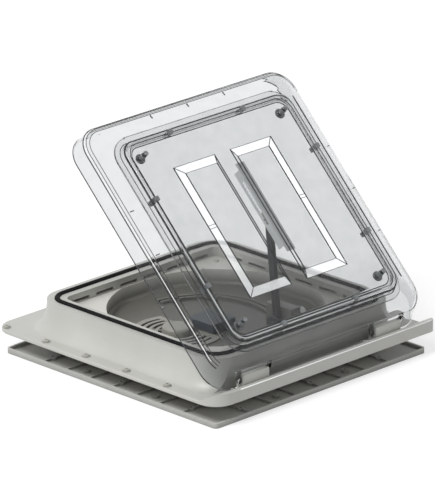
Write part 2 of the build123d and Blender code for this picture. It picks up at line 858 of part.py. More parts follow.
def make_shaft_bracket():
    end = bracket_start + bracket_thick
    body = block(bracket_start, end, pivot_y - bracket_width / 2, pivot_y + bracket_width / 2, house_z0,
                 pivot_z)
    body += cross_rod(bracket_start, end, pivot_y, pivot_z, bracket_width / 2)
    body += block(bracket_start - foot_reach, end, pivot_y - bracket_width / 2, pivot_y + bracket_width / 2,
                  house_z0, house_z0 + foot_thick)
    body -= cross_rod(bracket_start - overrun, end + overrun, pivot_y, pivot_z, shaft_radius + fit_gap)
    return body


# Bowl liner: deck, round bowl, floor, fan opening and low ridges
def bowl_plug(inset, z0, z1):
    square = slab(liner_half - inset, liner_corner - inset, z0, z1)
    return square & rod(0, 0, z0, z1, bowl_radius + liner_wall - inset)


def fan_disc(radius, z0, z1):
    disc = rod(fan_x, fan_y, z0, z1, radius)
    edge = fan_x + fan_chord + radius - fan_opening
    return disc - block(edge, edge + 2 * radius, fan_y - radius, fan_y + radius, z0 - overrun, z1 + overrun)


def make_bowl_liner():
    body = slab(liner_half, liner_corner, deck_top - liner_wall, deck_top)
    body += bowl_plug(0, floor_top - liner_wall, deck_top)
    pocket = bowl_plug(liner_wall, floor_top, deck_top + overrun)
    pocket = fillet(pocket.edges().group_by(Axis.Z)[0], bowl_round)
    body -= pocket
    for radius in (ridge_radius, ridge_radius - ridge_step):
        band = rod(ridge_x, ridge_y, floor_top - overrun, floor_top + ridge_height, radius)
        band -= rod(ridge_x, ridge_y, floor_top - 2 * overrun, floor_top + 2 * ridge_height,
                    radius - ridge_width)
        band &= block(fan_x + guard_radius, bowl_radius, -ridge_radius / 2, 2 * bowl_radius, 0, deck_top)
        body += band
    body -= fan_disc(fan_opening, 0, floor_top + overrun)
    for x, y in deck_screw_places:
        body -= rod(x, y, 0, deck_top + overrun, liner_screw_radius + seat_gap)
    body -= rod(floor_screw_x, floor_screw_y, 0, floor_top + overrun, liner_screw_radius + key_gap)
    for x, y in guard_screw_places:
        body -= rod(x, y, 0, floor_top + overrun, guard_screw_radius + key_gap)
    return body


def liner_screw(x, y, seat, length):
    head = rod(x, y, seat + key_gap, seat + key_gap + liner_screw_radius, liner_screw_head)
    head = fillet(head.edges().group_by(Axis.Z)[-1], liner_screw_radius / 2)
    return head + rod(x, y, seat - length, seat + key_gap, liner_screw_radius)


# Fan guard: a rim, concentric rings, ribs and a hub, cut off straight beside the control box
guard_base = floor_top + key_gap
guard_top = guard_base + guard_thick
guard_screw_turns = (60, 120, 180, 240, 300)
guard_screw_places = [(fan_x + guard_screw_ring * math.cos(math.radians(turn)),
                       fan_y + guard_screw_ring * math.sin(math.radians(turn))) for turn in guard_screw_turns]


def make_fan_guard():
    body = fan_disc(guard_radius, guard_base, guard_top)
    ring_space = guard_ring_pitch - guard_ring_width
    slots = None
    edge = guard_hub
    while edge + ring_space < fan_opening:
        gap = rod(fan_x, fan_y, guard_base - overrun, guard_top + overrun, edge + ring_space)
        gap -= rod(fan_x, fan_y, guard_base - overrun, guard_top + overrun, edge)
        slots = gap if slots is None else slots + gap
        edge += guard_ring_pitch
    for i in range(guard_rib_lines):
        turn = guard_rib_turn + 180 * i / guard_rib_lines
        rib = Box(2 * guard_radius, guard_rib_width, 2 * guard_thick + 2 * overrun)
        slots -= Pos(fan_x, fan_y, guard_top) * Rot(0, 0, turn) * rib
    slots &= fan_disc(fan_opening - guard_ring_width, guard_base - overrun, guard_top + overrun)
    body -= slots
    for x, y in guard_screw_places:
        body -= rod(x, y, guard_base - overrun, guard_top + overrun, guard_screw_radius + seat_gap)
    return body


def guard_screw(x, y):
    head = rod(x, y, guard_top + key_gap, guard_top + key_gap + guard_screw_radius, guard_screw_head)
    return head + rod(x, y, floor_top - liner_wall - seat_gap, guard_top + key_gap, guard_screw_radius)


def make_fan_shroud():
    top = floor_top - liner_wall - seat_gap
    body = rod(fan_x, fan_y, shroud_bottom, top, shroud_inner + shroud_wall)
    body += rod(fan_x, fan_y, top - shroud_wall, top, shroud_flange)
    return body - rod(fan_x, fan_y, shroud_bottom - overrun, top + overrun, shroud_inner)


def make_fan_motor():
    body = rod(fan_x, fan_y, fan_motor_bottom, guard_base - seat_gap, fan_motor_radius)
    body = fillet(body.edges().group_by(Axis.Z)[0], liner_wall)
    return body - rod(fan_x, fan_y, fan_motor_bottom - overrun, fan_shaft_top + overrun,
                      fan_shaft_radius + fit_gap)


def make_motor_cowl():
    body = rod(fan_x, fan_y, guard_top + key_gap, guard_top + cowl_height, guard_hub - seat_gap)
    return fillet(body.edges().group_by(Axis.Z)[-1], cowl_round)


def make_impeller():
    body = rod(fan_x, fan_y, cup_floor, cup_top, cup_outer)
    body -= rod(fan_x, fan_y, cup_floor + cup_wall, cup_top + overrun, cup_outer - cup_wall)
    blades = None
    for i in range(blade_count):
        length = blade_tip - cup_outer + cup_wall / 2
        blade = Rot(blade_pitch_angle, 0, 0) * Box(length, blade_chord, blade_thick)
        blade = Pos(cup_outer - cup_wall / 2 + length / 2, 0, blade_mid) * blade
        blade = Pos(fan_x, fan_y, 0) * Rot(0, 0, 360 * i / blade_count) * blade
        blades = blade if blades is None else blades + blade
    blades -= rod(fan_x, fan_y, 2 * cup_floor, 2 * cup_top, cup_outer - cup_wall / 2)
    body += blades
    return body - rod(fan_x, fan_y, cup_floor - overrun, cup_top, fan_shaft_radius + key_gap)


def make_fan_shaft():
    return rod(fan_x, fan_y, cup_floor - cup_wall, fan_shaft_top, fan_shaft_radius)


# Control box: an open tray with a lid
def box_outline(grow):
    return Pos(box_x, box_y) * RectangleRounded(box_length + grow, box_width + grow, box_corner)


def make_control_box():
    low = floor_top + seat_gap
    high = low + box_height - box_lid
    body = Pos(0, 0, low) * extrude(box_outline(0), high - low)
    return body - Pos(0, 0, low + box_wall) * extrude(box_outline(-2 * box_wall), high)


def make_control_lid():
    low = floor_top + seat_gap + box_height - box_lid + key_gap
    body = Pos(0, 0, low) * extrude(box_outline(0), box_lid)
    return fillet(body.edges().group_by(Axis.Z)[-1], box_lid_round)


# Inner frame: tray, lip, sleeve, ribs and bosses
def make_inner_frame():
    floor_z = frame_bottom + frame_floor
    body = ring(frame_half, frame_half - frame_lip, frame_corner, frame_bottom, frame_lip_top)
    body += slab(frame_half, frame_corner, frame_bottom, floor_z)
    body += ring(sleeve_half, sleeve_half - sleeve_wall, sleeve_corner, frame_bottom, sleeve_top)
    body -= slab(ledge_half, ledge_corner, frame_bottom - overrun, floor_z + overrun)
    rib_top = frame_lip_top - rib_drop
    rib_mid = (sleeve_half + frame_half - frame_lip) / 2
    rib_length = frame_half - frame_lip - sleeve_half + 2 * overrun
    for x, y in side_places(rib_mid, spread(rib_count, rib_pitch)):
        along_x = abs(x) > abs(y)
        length_x = rib_length if along_x else rib_thick
        length_y = rib_thick if along_x else rib_length
        body += block(x - length_x / 2, x + length_x / 2, y - length_y / 2, y + length_y / 2, frame_bottom,
                      rib_top)
    for x, y in side_places(boss_ring, spread(boss_count, boss_pitch)):
        body += rod(x, y, frame_bottom, frame_lip_top - boss_drop, boss_radius)
        body -= rod(x, y, frame_bottom - overrun, frame_lip_top, boss_hole)
    for x, y in clamp_places:
        body += rod(x, y, frame_bottom, neck_bottom - seat_gap, clamp_boss_radius)
        body -= rod(x, y, frame_bottom - overrun, neck_bottom, clamp_shank + seat_gap)
        body -= rod(x, y, frame_bottom - overrun, frame_bottom + clamp_sink, clamp_head + seat_gap)
    return body


def clamp_screw(x, y):
    seat = frame_bottom + clamp_sink - key_gap
    return rod(x, y, seat - clamp_head_height, seat, clamp_head) + rod(x, y, seat, clamp_end, clamp_shank)


# Fly screen: frame, net and two turn latches on posts
def make_screen_frame():
    low = frame_bottom + frame_floor + seat_gap
    body = ring(screen_half, screen_half - screen_bar, screen_corner, low, screen_top)
    net_low = (low + screen_top) / 2 - net_thick / 2 - seat_gap
    groove_half = screen_half - screen_bar / 2
    return body - slab(groove_half, screen_corner / 2, net_low, net_low + net_thick + 2 * seat_gap)


def make_fly_screen():
    low = frame_bottom + frame_floor + seat_gap
    net_low = (low + screen_top) / 2 - net_thick / 2
    half = screen_half - screen_bar / 2 - seat_gap
    net = RectangleRounded(2 * half, 2 * half, screen_corner / 2)
    span = 2 * (screen_half - screen_bar)
    cell = span / net_cells
    net -= GridLocations(cell, cell, net_cells, net_cells) * Rectangle(cell - net_bar, cell - net_bar)
    return Pos(0, 0, net_low) * extrude(net, net_thick)


def latch_post(side):
    x = side * latch_pivot
    low = frame_bottom + frame_floor
    latch_low = screen_top + seat_gap
    post = rod(x, 0, low + key_gap, latch_low - seat_gap, latch_head_radius)
    post += rod(x, 0, low + key_gap, latch_low + latch_thick + seat_gap, latch_post_radius)
    return post + rod(x, 0, latch_low + latch_thick + seat_gap, latch_low + latch_thick + latch_head_height,
                      latch_head_radius)


def make_latch(side):
    latch_low = screen_top + seat_gap
    tip = latch_pivot - latch_length + latch_width / 2
    body = rod(latch_pivot, 0, latch_low, latch_low + latch_thick, latch_width / 2)
    body += rod(tip, 0, latch_low, latch_low + latch_thick, latch_width / 2)
    body += block(tip, latch_pivot, -latch_width / 2, latch_width / 2, latch_low, latch_low + latch_thick)
    body -= rod(latch_pivot, 0, latch_low - overrun, latch_low + latch_thick + overrun,
                latch_post_radius + fit_gap)
    return body if side > 0 else mirror(body, about=Plane.YZ)


def make_rim_seal():
    body = ring(rim_half + seal_half_width, rim_half - seal_half_width, rim_corner + seal_half_width,
                rim_top - seal_depth + key_gap, seal_top)
    return fillet(body.edges().group_by(Axis.Z)[-1], seal_round)


def block_screw(x, y):
    seat = flange_thick / 2 - key_gap
    head = rod(x, y, seat - block_screw_radius, seat, block_screw_head)
    return head + rod(x, y, seat, flange_thick + block_screw_length - overrun, block_screw_radius)


os.makedirs("parts", exist_ok=True)

# Pieces that stay on the roof
save(make_base_frame(), "base_frame")
save(make_rim_seal(), "rim_seal")
save(group(pan_screw(x, y, flange_thick) for x, y in flange_screw_places), "flange_screws")
save(make_hinge_block(-1), "hinge_block_left")
save(make_hinge_block(1), "hinge_block_right")
save(group(block_screw(x, y) for x, y in block_screw_places), "hinge_block_screws")
save(make_hinge_pin(-1), "hinge_pin_left")
save(make_hinge_pin(1), "hinge_pin_right")
save(make_bowl_liner(), "bowl_liner")
liner_screws = [liner_screw(x, y, deck_top, liner_screw_length) for x, y in deck_screw_places]
liner_screws.append(liner_screw(floor_screw_x, floor_screw_y, floor_top, liner_wall))
save(group(liner_screws), "liner_screws")
save(make_fan_guard(), "fan_guard")
save(group(guard_screw(x, y) for x, y in guard_screw_places), "guard_screws")
save(make_fan_shroud(), "fan_shroud")
save(make_fan_motor(), "fan_motor")
save(make_motor_cowl(), "motor_cowl")
save(make_control_box(), "control_box")
save(make_control_lid(), "control_lid")
save(make_gear_housing(), "gear_housing")
save(make_gear_cover(), "gear_cover")
save(group(cover_screw(y, z) for y, z in cover_screw_places), "cover_screws")
save(make_lift_motor(), "lift_motor")
save(make_shaft_bracket(), "shaft_bracket")
save(make_inner_frame(), "inner_frame")
save(group(clamp_screw(x, y) for x, y in clamp_places), "clamp_screws")
save(make_screen_frame(), "screen_frame")
save(make_fly_screen(), "fly_screen")
save(group(latch_post(side) for side in sides), "latch_posts")

# Pieces that turn on the base
save(make_latch(-1), "screen_latch_left")
save(make_latch(1), "screen_latch_right")
save(make_impeller(), "fan_impeller")
save(make_fan_shaft(), "fan_shaft")
save(make_pinion(), "motor_pinion")
save(make_pinion_shaft(), "pinion_shaft")
save(make_lift_arm(), "lift_arm")
save(make_arm_shaft(), "arm_shaft")
save(make_drive_gear(), "drive_gear")
save(opened(make_slide_shoe()), "slide_shoe")
save(opened(make_shoe_pin()), "shoe_pin")

# Pieces that swing with the dome
save(opened(make_outer_dome()), "outer_dome")
save(opened(make_inner_pane()), "inner_pane")
save(opened(group(post_sleeve(x, along) for x, along in post_places)), "dome_posts")
save(opened(group(post_bolt(x, along) for x, along in post_places)), "dome_bolts")
save(opened(group(pane_stud(x, along) for x, along in stud_places)), "pane_studs")
save(opened(make_slide_rail()), "slide_rail")
save(opened(group([rail_screw(rail_near, -1), rail_screw(rail_far, 1)])), "rail_screws")
save(opened(make_hinge_bracket(-1)), "hinge_bracket_left")
save(opened(make_hinge_bracket(1)), "hinge_bracket_right")
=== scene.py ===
import bpy
import bmesh
import json
import math
from mathutils import Matrix, Vector

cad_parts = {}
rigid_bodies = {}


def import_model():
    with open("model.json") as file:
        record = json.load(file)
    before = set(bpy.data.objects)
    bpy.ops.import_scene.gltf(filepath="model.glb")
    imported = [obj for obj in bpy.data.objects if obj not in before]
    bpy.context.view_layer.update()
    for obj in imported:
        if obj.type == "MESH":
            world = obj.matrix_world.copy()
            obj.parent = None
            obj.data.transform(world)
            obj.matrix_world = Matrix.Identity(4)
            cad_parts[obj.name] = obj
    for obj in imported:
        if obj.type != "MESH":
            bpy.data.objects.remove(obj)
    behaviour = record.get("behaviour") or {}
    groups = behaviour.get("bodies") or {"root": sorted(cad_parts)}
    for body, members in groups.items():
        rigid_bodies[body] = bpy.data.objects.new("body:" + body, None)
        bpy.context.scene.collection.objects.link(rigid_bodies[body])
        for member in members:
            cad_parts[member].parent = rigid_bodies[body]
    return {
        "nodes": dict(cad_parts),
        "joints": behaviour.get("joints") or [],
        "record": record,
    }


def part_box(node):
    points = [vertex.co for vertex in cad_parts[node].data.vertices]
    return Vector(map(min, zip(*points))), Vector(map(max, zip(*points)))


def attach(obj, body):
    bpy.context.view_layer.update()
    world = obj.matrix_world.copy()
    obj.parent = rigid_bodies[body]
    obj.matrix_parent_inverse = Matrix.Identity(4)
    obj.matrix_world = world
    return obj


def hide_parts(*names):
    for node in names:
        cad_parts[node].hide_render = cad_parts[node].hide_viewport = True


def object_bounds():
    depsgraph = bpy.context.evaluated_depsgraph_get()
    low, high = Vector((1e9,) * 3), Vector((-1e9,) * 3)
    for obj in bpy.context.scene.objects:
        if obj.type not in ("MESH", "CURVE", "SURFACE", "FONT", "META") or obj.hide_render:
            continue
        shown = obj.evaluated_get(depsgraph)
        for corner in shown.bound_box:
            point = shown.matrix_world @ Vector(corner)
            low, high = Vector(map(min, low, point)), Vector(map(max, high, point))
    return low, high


# Caravan roof vent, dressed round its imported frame
for leftOver in list(bpy.data.objects):
    bpy.data.objects.remove(leftOver)

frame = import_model()
cadLow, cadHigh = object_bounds()
nodes = frame["nodes"]
mm = 0.001
bodies = frame["record"]["behaviour"]["bodies"]
bodyOf = {node: body for body, members in bodies.items() for node in members}
slotOf = {part["node"]: part["material_slot"] for part in frame["record"]["subparts"]}
joints = {joint["name"]: joint for joint in frame["joints"]}
hingePoint = Vector(joints["dome_hinge"]["pos_m"])
openAngle = -math.radians(joints["dome_hinge"]["range_deg"][0])
# the dome's shapes are drawn closed, measured from the hinge axis, and turned open by this
domeTurn = Matrix.Translation(hingePoint) @ Matrix.Rotation(openAngle, 4, "X")
noTurn = Matrix.Identity(4)
print("frame loaded", len(nodes), "nodes")


def linear(hexCode):
    channels = [int(hexCode[i:i + 2], 16) / 255 for i in (1, 3, 5)]
    return tuple(c / 12.92 if c <= 0.04045 else ((c + 0.055) / 1.055) ** 2.4 for c in channels) + (1.0,)


def addNode(tree, kind, values=None, **settings):
    # adds a node with its settings, sets or links its inputs and gives back its outputs
    node = tree.nodes.new(kind)
    for name, value in settings.items():
        setattr(node, name, value)
    for socket, value in (values or {}).items():
        if isinstance(value, bpy.types.NodeSocket):
            tree.links.new(value, node.inputs[socket])
        else:
            node.inputs[socket].default_value = value
    return node.outputs


def newMaterial(name):
    material = bpy.data.materials.new(name)
    material.use_nodes = True
    material.node_tree.nodes.clear()
    return material, material.node_tree


# what each kind of surface has in common: how finely its patches and grain break up, between which
# values of a noise they show, how far its roughness strays, and how deep its relief is in millimetres
plasticSkin = {
    "patchDetail": 4.0, "patches": (0.35, 0.7), "grainDetail": 2.0, "grain": (0.3, 0.7),
    "strays": (-0.06, 0.06), "depthMm": 0.1, "shade": (0.3, 0.9), "shadeSamples": 6,
}
metalSkin = {
    "patchDetail": 3.0, "patches": (0.35, 0.7), "grainDetail": 2.0, "grain": (0.3, 0.7),
    "strays": (-0.07, 0.08), "depthMm": 0.05,
}
acrylicSkin = {
    "patchDetail": 4.0, "patches": (0.35, 0.75), "grainDetail": 1.0, "grain": (0.4, 0.8),
    "strays": (0.0, 0.05), "depthMm": 0.5,
}


def addPatches(tree, place, look, skin):
    # the colour drifts into its faded tone in soft patches, where a noise's scale is one over its
    # size in metres
    noise = addNode(tree, "ShaderNodeTexNoise", {"Vector": place, "Scale": 1 / (look["patchMm"] * mm),
                                                 "Detail": skin["patchDetail"]})["Fac"]
    low, high = skin["patches"]
    share = addNode(tree, "ShaderNodeMapRange", {"Value": noise, "From Min": low,
                                                 "From Max": high})["Result"]
    # sockets 0, 6 and 7 of a colour mix are its share and its two colours, and output 2 is the mix
    tone = addNode(tree, "ShaderNodeMix", {0: share, 6: linear(look["colour"]), 7: linear(look["faded"])},
                   data_type="RGBA")[2]
    return tone, noise


def addGrain(tree, grain, relief, look, skin):
    # the roughness strays with one noise, and the same one or another raises the skin
    low, high = skin["grain"]
    least, most = [look["roughness"] + stray for stray in skin["strays"]]
    gloss = addNode(tree, "ShaderNodeMapRange", {"Value": grain, "From Min": low, "From Max": high,
                                                 "To Min": least, "To Max": most})["Result"]
    normal = addNode(tree, "ShaderNodeBump", {"Height": relief, "Strength": look["bump"],
                                              "Distance": skin["depthMm"] * mm})["Normal"]
    return gloss, normal


def anyRay(tree, *kinds):
    # 1 on a ray of any of these kinds, else 0
    path = addNode(tree, "ShaderNodeLightPath")
    found = path[kinds[0]]
    for kind in kinds[1:]:
        found = addNode(tree, "ShaderNodeMath", {0: found, 1: path[kind]}, operation="MAXIMUM")[0]
    return found


def mouldedPlastic(name, look):
    # faded patches, the dirt-and-shade colour where the ambient occlusion finds corners, which is painted
    # shade on most plastics and a bloom of dust on the rubber, painted shade that darkens towards the
    # bottom, and a fine grain
    material, tree = newMaterial(name)
    place = addNode(tree, "ShaderNodeTexCoord")["Object"]
    unshadedTone = addPatches(tree, place, look, plasticSkin)[0]
    # painted shade: corners and gaps that the ambient occlusion finds turn to the dirt-and-shade colour
    shade = addNode(tree, "ShaderNodeAmbientOcclusion", {"Distance": look["dirtAndShadeMm"] * mm},
                    samples=plasticSkin["shadeSamples"])["AO"]
    low, high = plasticSkin["shade"]
    dirtAndShade = addNode(tree, "ShaderNodeMapRange", {"Value": shade, "From Min": low, "From Max": high,
                                                "To Min": look["dirtAndShade"], "To Max": 0.0})["Result"]
    tone = addNode(tree, "ShaderNodeMix", {0: dirtAndShade, 6: unshadedTone, 7: linear(look["dirtAndShadeColour"])},
                   data_type="RGBA")[2]
    # painted shade: below a given height the colour darkens into the deep colour
    if "deep" in look:
        height = addNode(tree, "ShaderNodeSeparateXYZ", {"Vector": place})["Z"]
        low, high = [level * mm for level in look["deepFromTo"]]
        deep = addNode(tree, "ShaderNodeMapRange", {"Value": height, "From Min": low, "From Max": high,
                                                    "To Min": 1.0, "To Max": 0.0})["Result"]
        tone = addNode(tree, "ShaderNodeMix", {0: deep, 6: tone, 7: linear(look["deep"])},
                       data_type="RGBA")[2]
    fine = addNode(tree, "ShaderNodeTexNoise", {"Vector": place, "Scale": 1 / (look["grainMm"] * mm),
                                                "Detail": plasticSkin["grainDetail"]})["Fac"]
    gloss, normal = addGrain(tree, fine, fine, look, plasticSkin)
    # the glow is painted light: the surface gives off its own colour though it is no lamp
    shader = addNode(tree, "ShaderNodeBsdfPrincipled", {
        "Base Color": tone, "Roughness": gloss, "IOR": look["ior"], "Alpha": look["alpha"], "Normal": normal,
        "Emission Color": linear(look["colour"]), "Emission Strength": look["glow"]})[0]
    addNode(tree, "ShaderNodeOutputMaterial", {"Surface": shader})
    return material


def metal(name, look):
    # dull patches, and fine marks that the stretch draws out along one axis
    material, tree = newMaterial(name)
    place = addNode(tree, "ShaderNodeTexCoord")["Object"]
    tone = addPatches(tree, place, look, metalSkin)[0]
    stretched = addNode(tree, "ShaderNodeMapping", {"Vector": place, "Scale": look["stretch"]})["Vector"]
    marks = addNode(tree, "ShaderNodeTexNoise", {"Vector": stretched, "Scale": 1 / (look["grainMm"] * mm),
                                                 "Detail": metalSkin["grainDetail"]})["Fac"]
    gloss, normal = addGrain(tree, marks, marks, look, metalSkin)
    shader = addNode(tree, "ShaderNodeBsdfPrincipled", {"Base Color": tone, "Metallic": 1.0,
                                                        "Roughness": gloss, "Normal": normal})[0]
    addNode(tree, "ShaderNodeOutputMaterial", {"Surface": shader})
    return material


def clearAcrylic(name, look):
    # acrylic passes light, so lamps and soft light reach what is under it
    material, tree = newMaterial(name)
    place = addNode(tree, "ShaderNodeTexCoord")["Object"]
    tone, smear = addPatches(tree, place, look, acrylicSkin)
    wave = addNode(tree, "ShaderNodeTexNoise", {"Vector": place, "Scale": 1 / (look["grainMm"] * mm),
                                                "Detail": acrylicSkin["grainDetail"]})["Fac"]
    gloss, normal = addGrain(tree, smear, wave, look, acrylicSkin)
    glass = addNode(tree, "ShaderNodeBsdfPrincipled", {
        "Base Color": tone, "Roughness": gloss, "IOR": look["ior"], "Transmission Weight": 1.0,
        "Normal": normal})[0]
    passed = addNode(tree, "ShaderNodeBsdfTransparent", {"Color": linear(look["shadow"])})[0]
    soft = anyRay(tree, "Is Shadow Ray", "Is Diffuse Ray")
    mix = addNode(tree, "ShaderNodeMixShader", {0: soft, 1: glass, 2: passed})[0]
    addNode(tree, "ShaderNodeOutputMaterial", {"Surface": mix})
    return material


# what a plastic has unless it says otherwise: sizes in millimetres, and shares from 0 to 1,
# where the grain is coarser than a real moulded skin's, so that it shows
plainPlastic = {
    "patchMm": 45, "grainMm": 1.6, "bump": 0.25, "roughness": 0.42, "ior": 1.5,
    # by default a plastic's corners take painted shade in the dirt-and-shade colour
    "dirtAndShadeColour": "#5d5a50", "dirtAndShadeMm": 12, "dirtAndShade": 0.3, "glow": 0.0, "alpha": 1.0,
}
plasticLooks = {
    # injection moulded ASA on the roof side, satin and slightly chalky from the weather
    "weatheredAsa": {"colour": "#c5c5c0", "faded": "#bfbfba", "patchMm": 90, "roughness": 0.4},
    # ABS of the ceiling side, moulded with a fine leather-like texture that looks dull, with strong painted
    # shade darkening its corners and recesses
    "texturedAbs": {"colour": "#cfcfcb", "faded": "#c7c7c3", "bump": 0.5, "roughness": 0.55,
                    "dirtAndShadeColour": "#45443f", "dirtAndShadeMm": 22, "dirtAndShade": 0.8},
    # thin moulded ABS liner, satin, with painted shade in its corners and painted shade that darkens it
    # towards the bottom of its bowl
    "linerAbs": {"colour": "#e0dfd9", "faded": "#d7d6cf", "roughness": 0.45, "dirtAndShadeMm": 30, "dirtAndShade": 0.5,
                 "deep": "#62615b", "deepFromTo": (15, 40)},
    # moulded ABS of the cowl and the guard, coloured greyer as painted shade of the bowl that they stand in
    "cowlAbs": {"colour": "#a3a29b", "faded": "#9a9992", "roughness": 0.45},
    "guardAbs": {"colour": "#9f9e97", "faded": "#95948d", "roughness": 0.5, "dirtAndShade": 0.5},
    # moulded blue-grey ABS of the control box, satin
    "blueAbs": {"colour": "#3f464e", "faded": "#4b535b", "roughness": 0.45},
    # painted pan heads in the flange's colour, a little glossier than it, with painted shade darkening them
    # where they meet the flange
    "capPaint": {"colour": "#b3b2ab", "faded": "#a7a69f", "grainMm": 0.8, "roughness": 0.35,
                 "dirtAndShadeColour": "#3d3c38", "dirtAndShadeMm": 5, "dirtAndShade": 0.8},
    # extruded EPDM, black and dull, with a bloom of dust
    "epdmRubber": {"colour": "#08090a", "faded": "#0d0e10", "grainMm": 0.9, "bump": 0.6, "roughness": 0.8,
                   "ior": 1.3, "dirtAndShadeColour": "#141413"},
    # glass filled nylon, moulded, keeps a dull grainy skin
    "greyNylon": {"colour": "#4a4c4f", "faded": "#56585a", "grainMm": 1.0, "bump": 0.5, "roughness": 0.52},
    "housingNylon": {"colour": "#8a8a84", "faded": "#7f7f79", "grainMm": 1.0, "bump": 0.5, "roughness": 0.5},
    "darkNylon": {"colour": "#303133", "faded": "#3b3c3e", "grainMm": 1.0, "bump": 0.5, "roughness": 0.5},
    # pale nylon between the shells, where a little glow stands for the light that they trap
    "postNylon": {"colour": "#8d9092", "faded": "#7c7f82", "grainMm": 1.0, "bump": 0.4, "roughness": 0.4,
                  "dirtAndShade": 0.1, "glow": 0.12},
    "railNylon": {"colour": "#dfe0e2", "faded": "#d5d7d9", "grainMm": 1.0, "bump": 0.4, "roughness": 0.5,
                  "dirtAndShade": 0.0, "glow": 0.3},
    # unfilled nylon of the gears and acetal of the latches, moulded smooth and slightly waxy
    "naturalNylon": {"colour": "#c8c3b2", "faded": "#bcb7a5", "roughness": 0.4},
    "whiteAcetal": {"colour": "#cfcdc4", "faded": "#c5c3ba", "roughness": 0.33},
    # moulded polypropylene, smooth with a soft sheen
    "ductPolypropylene": {"colour": "#5f6163", "faded": "#6a6c6e", "roughness": 0.5},
    "fanPolypropylene": {"colour": "#8d908f", "faded": "#838685", "roughness": 0.4},
    # woven polyester net, coated dark grey
    "netPolyester": {"colour": "#26282a", "faded": "#313335", "grainMm": 0.6, "roughness": 0.6},
    # baked black paint on a pressed can, fairly glossy
    "blackPaint": {"colour": "#1d1e20", "faded": "#26272a", "grainMm": 1.2, "roughness": 0.35},
    # dark beads along the acrylic's edges and ribs, painted refraction that draws its edges as dark lines
    "paintedDarkRefraction": {"colour": "#1f2224", "faded": "#2a2d2f", "grainMm": 1.0, "roughness": 0.6, "dirtAndShade": 0.0},
    # white beads along polished edges of the acrylic and of the lip, a painted highlight
    "paintedGlint": {"colour": "#f4f5f5", "faded": "#eceeef", "roughness": 0.3, "dirtAndShade": 0.0, "glow": 0.2},
    # the pane's bevels glow white and show what is behind, a painted reflection of the white surround
    "paintedBevelGlow": {"colour": "#f4f5f5", "faded": "#eceeef", "roughness": 0.3, "dirtAndShade": 0.0, "glow": 2.1,
                   "alpha": 0.16},
}
metalLooks = {
    # zinc plated steel of the screws, bright and a little cloudy
    "zincSteel": {"colour": "#b9bab6", "faded": "#9c9d98", "patchMm": 6, "grainMm": 1.2,
                  "stretch": (1, 1, 1), "roughness": 0.34, "bump": 0.3},
    # black zinc gives fixings a dark, slightly oily look
    "blackZinc": {"colour": "#8f9294", "faded": "#6c6f71", "patchMm": 5, "grainMm": 1.0,
                  "stretch": (1, 1, 1), "roughness": 0.36, "bump": 0.3},
    # ground steel of the shafts and pins, with marks drawn out along the hinge's direction
    "groundSteel": {"colour": "#a9abac", "faded": "#8f9193", "patchMm": 20, "grainMm": 2.5,
                    "stretch": (1, 12, 12), "roughness": 0.28, "bump": 0.2},
    # deep drawn steel of the motor's can, duller and with coarser marks
    "drawnSteel": {"colour": "#9fa09e", "faded": "#868785", "patchMm": 14, "grainMm": 3.0,
                   "stretch": (1, 12, 12), "roughness": 0.38, "bump": 0.25},
}
# formed acrylic sheet, clear with faint smears and waves, and with an IOR below its real one,
# which keeps the mirror light faint on the shells and holds the view through them steady
acrylicLooks = {
    "smokeAcrylic": {"colour": "#e6e7e8", "faded": "#dfe1e2", "shadow": "#e0e1e1", "patchMm": 30,
                     "grainMm": 70, "bump": 0.02, "roughness": 0.015, "ior": 1.25},
    "clearAcrylic": {"colour": "#ebecec", "faded": "#e6e7e7", "shadow": "#e9e9e8", "patchMm": 24,
                     "grainMm": 55, "bump": 0.03, "roughness": 0.02, "ior": 1.25},
}
finishes = {name: mouldedPlastic(name, plainPlastic | look) for name, look in plasticLooks.items()}
finishes.update({name: metal(name, look) for name, look in metalLooks.items()})
finishes.update({name: clearAcrylic(name, look) for name, look in acrylicLooks.items()})
print("materials made", len(finishes))

# how meshes are joined and smoothed: distances in millimetres and angles in degrees
meshing = {
    "nodeMerge": 0.002, "shellMerge": 0.001, "flatAngle": 0.6, "bevelAngle": 50, "bevelSegments": 2,
    "sharpAngle": 32, "shellSharpAngle": 40,
}


def finishPiece(name, mesh, finish, body, slot, stands=()):
    piece = bpy.data.objects.new(name, mesh)
    bpy.context.scene.collection.objects.link(piece)
    mesh.materials.clear()
    mesh.materials.append(finishes[finish])
    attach(piece, body)
    if stands:
        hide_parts(*stands)


def newHolder(name, mesh):
    holder = bpy.data.objects.new(name, mesh)
    bpy.context.scene.collection.objects.link(holder)
    return holder


def settle(holder):
    # the holder's modifiers become its mesh
    evaluated = holder.evaluated_get(bpy.context.evaluated_depsgraph_get())
    mesh = bpy.data.meshes.new_from_object(evaluated)
    bpy.data.objects.remove(holder)
    return mesh


def meshFrom(work, name):
    mesh = bpy.data.meshes.new(name)
    work.to_mesh(mesh)
    work.free()
    return mesh


def smoothMesh(mesh, sharpAngle):
    for layer in ("custom_normal", "sharp_face"):
        if layer in mesh.attributes:
            mesh.attributes.remove(mesh.attributes[layer])
    for face in mesh.polygons:
        face.use_smooth = True
    mesh.set_sharp_from_angle(angle=math.radians(sharpAngle))


def dressNode(node, finish, bevelMm):
    # a copy of the node with joined faces, and its edges broken as on a moulding
    work = bmesh.new()
    work.from_mesh(nodes[node].data)
    bmesh.ops.remove_doubles(work, verts=work.verts, dist=meshing["nodeMerge"] * mm)
    bmesh.ops.dissolve_limit(work, angle_limit=math.radians(meshing["flatAngle"]), verts=work.verts,
                             edges=work.edges)
    mesh = meshFrom(work, node + "Skin")
    if bevelMm:
        holder = newHolder(node + "Work", mesh)
        bevel = holder.modifiers.new("edges", "BEVEL")
        bevel.width = bevelMm * mm
        bevel.segments = meshing["bevelSegments"]
        bevel.limit_method = "ANGLE"
        bevel.angle_limit = math.radians(meshing["bevelAngle"])
        mesh = settle(holder)
    smoothMesh(mesh, meshing["sharpAngle"])
    finishPiece(node.title().replace("_", "") + "Skin", mesh, finish, bodyOf[node], slotOf[node], (node,))


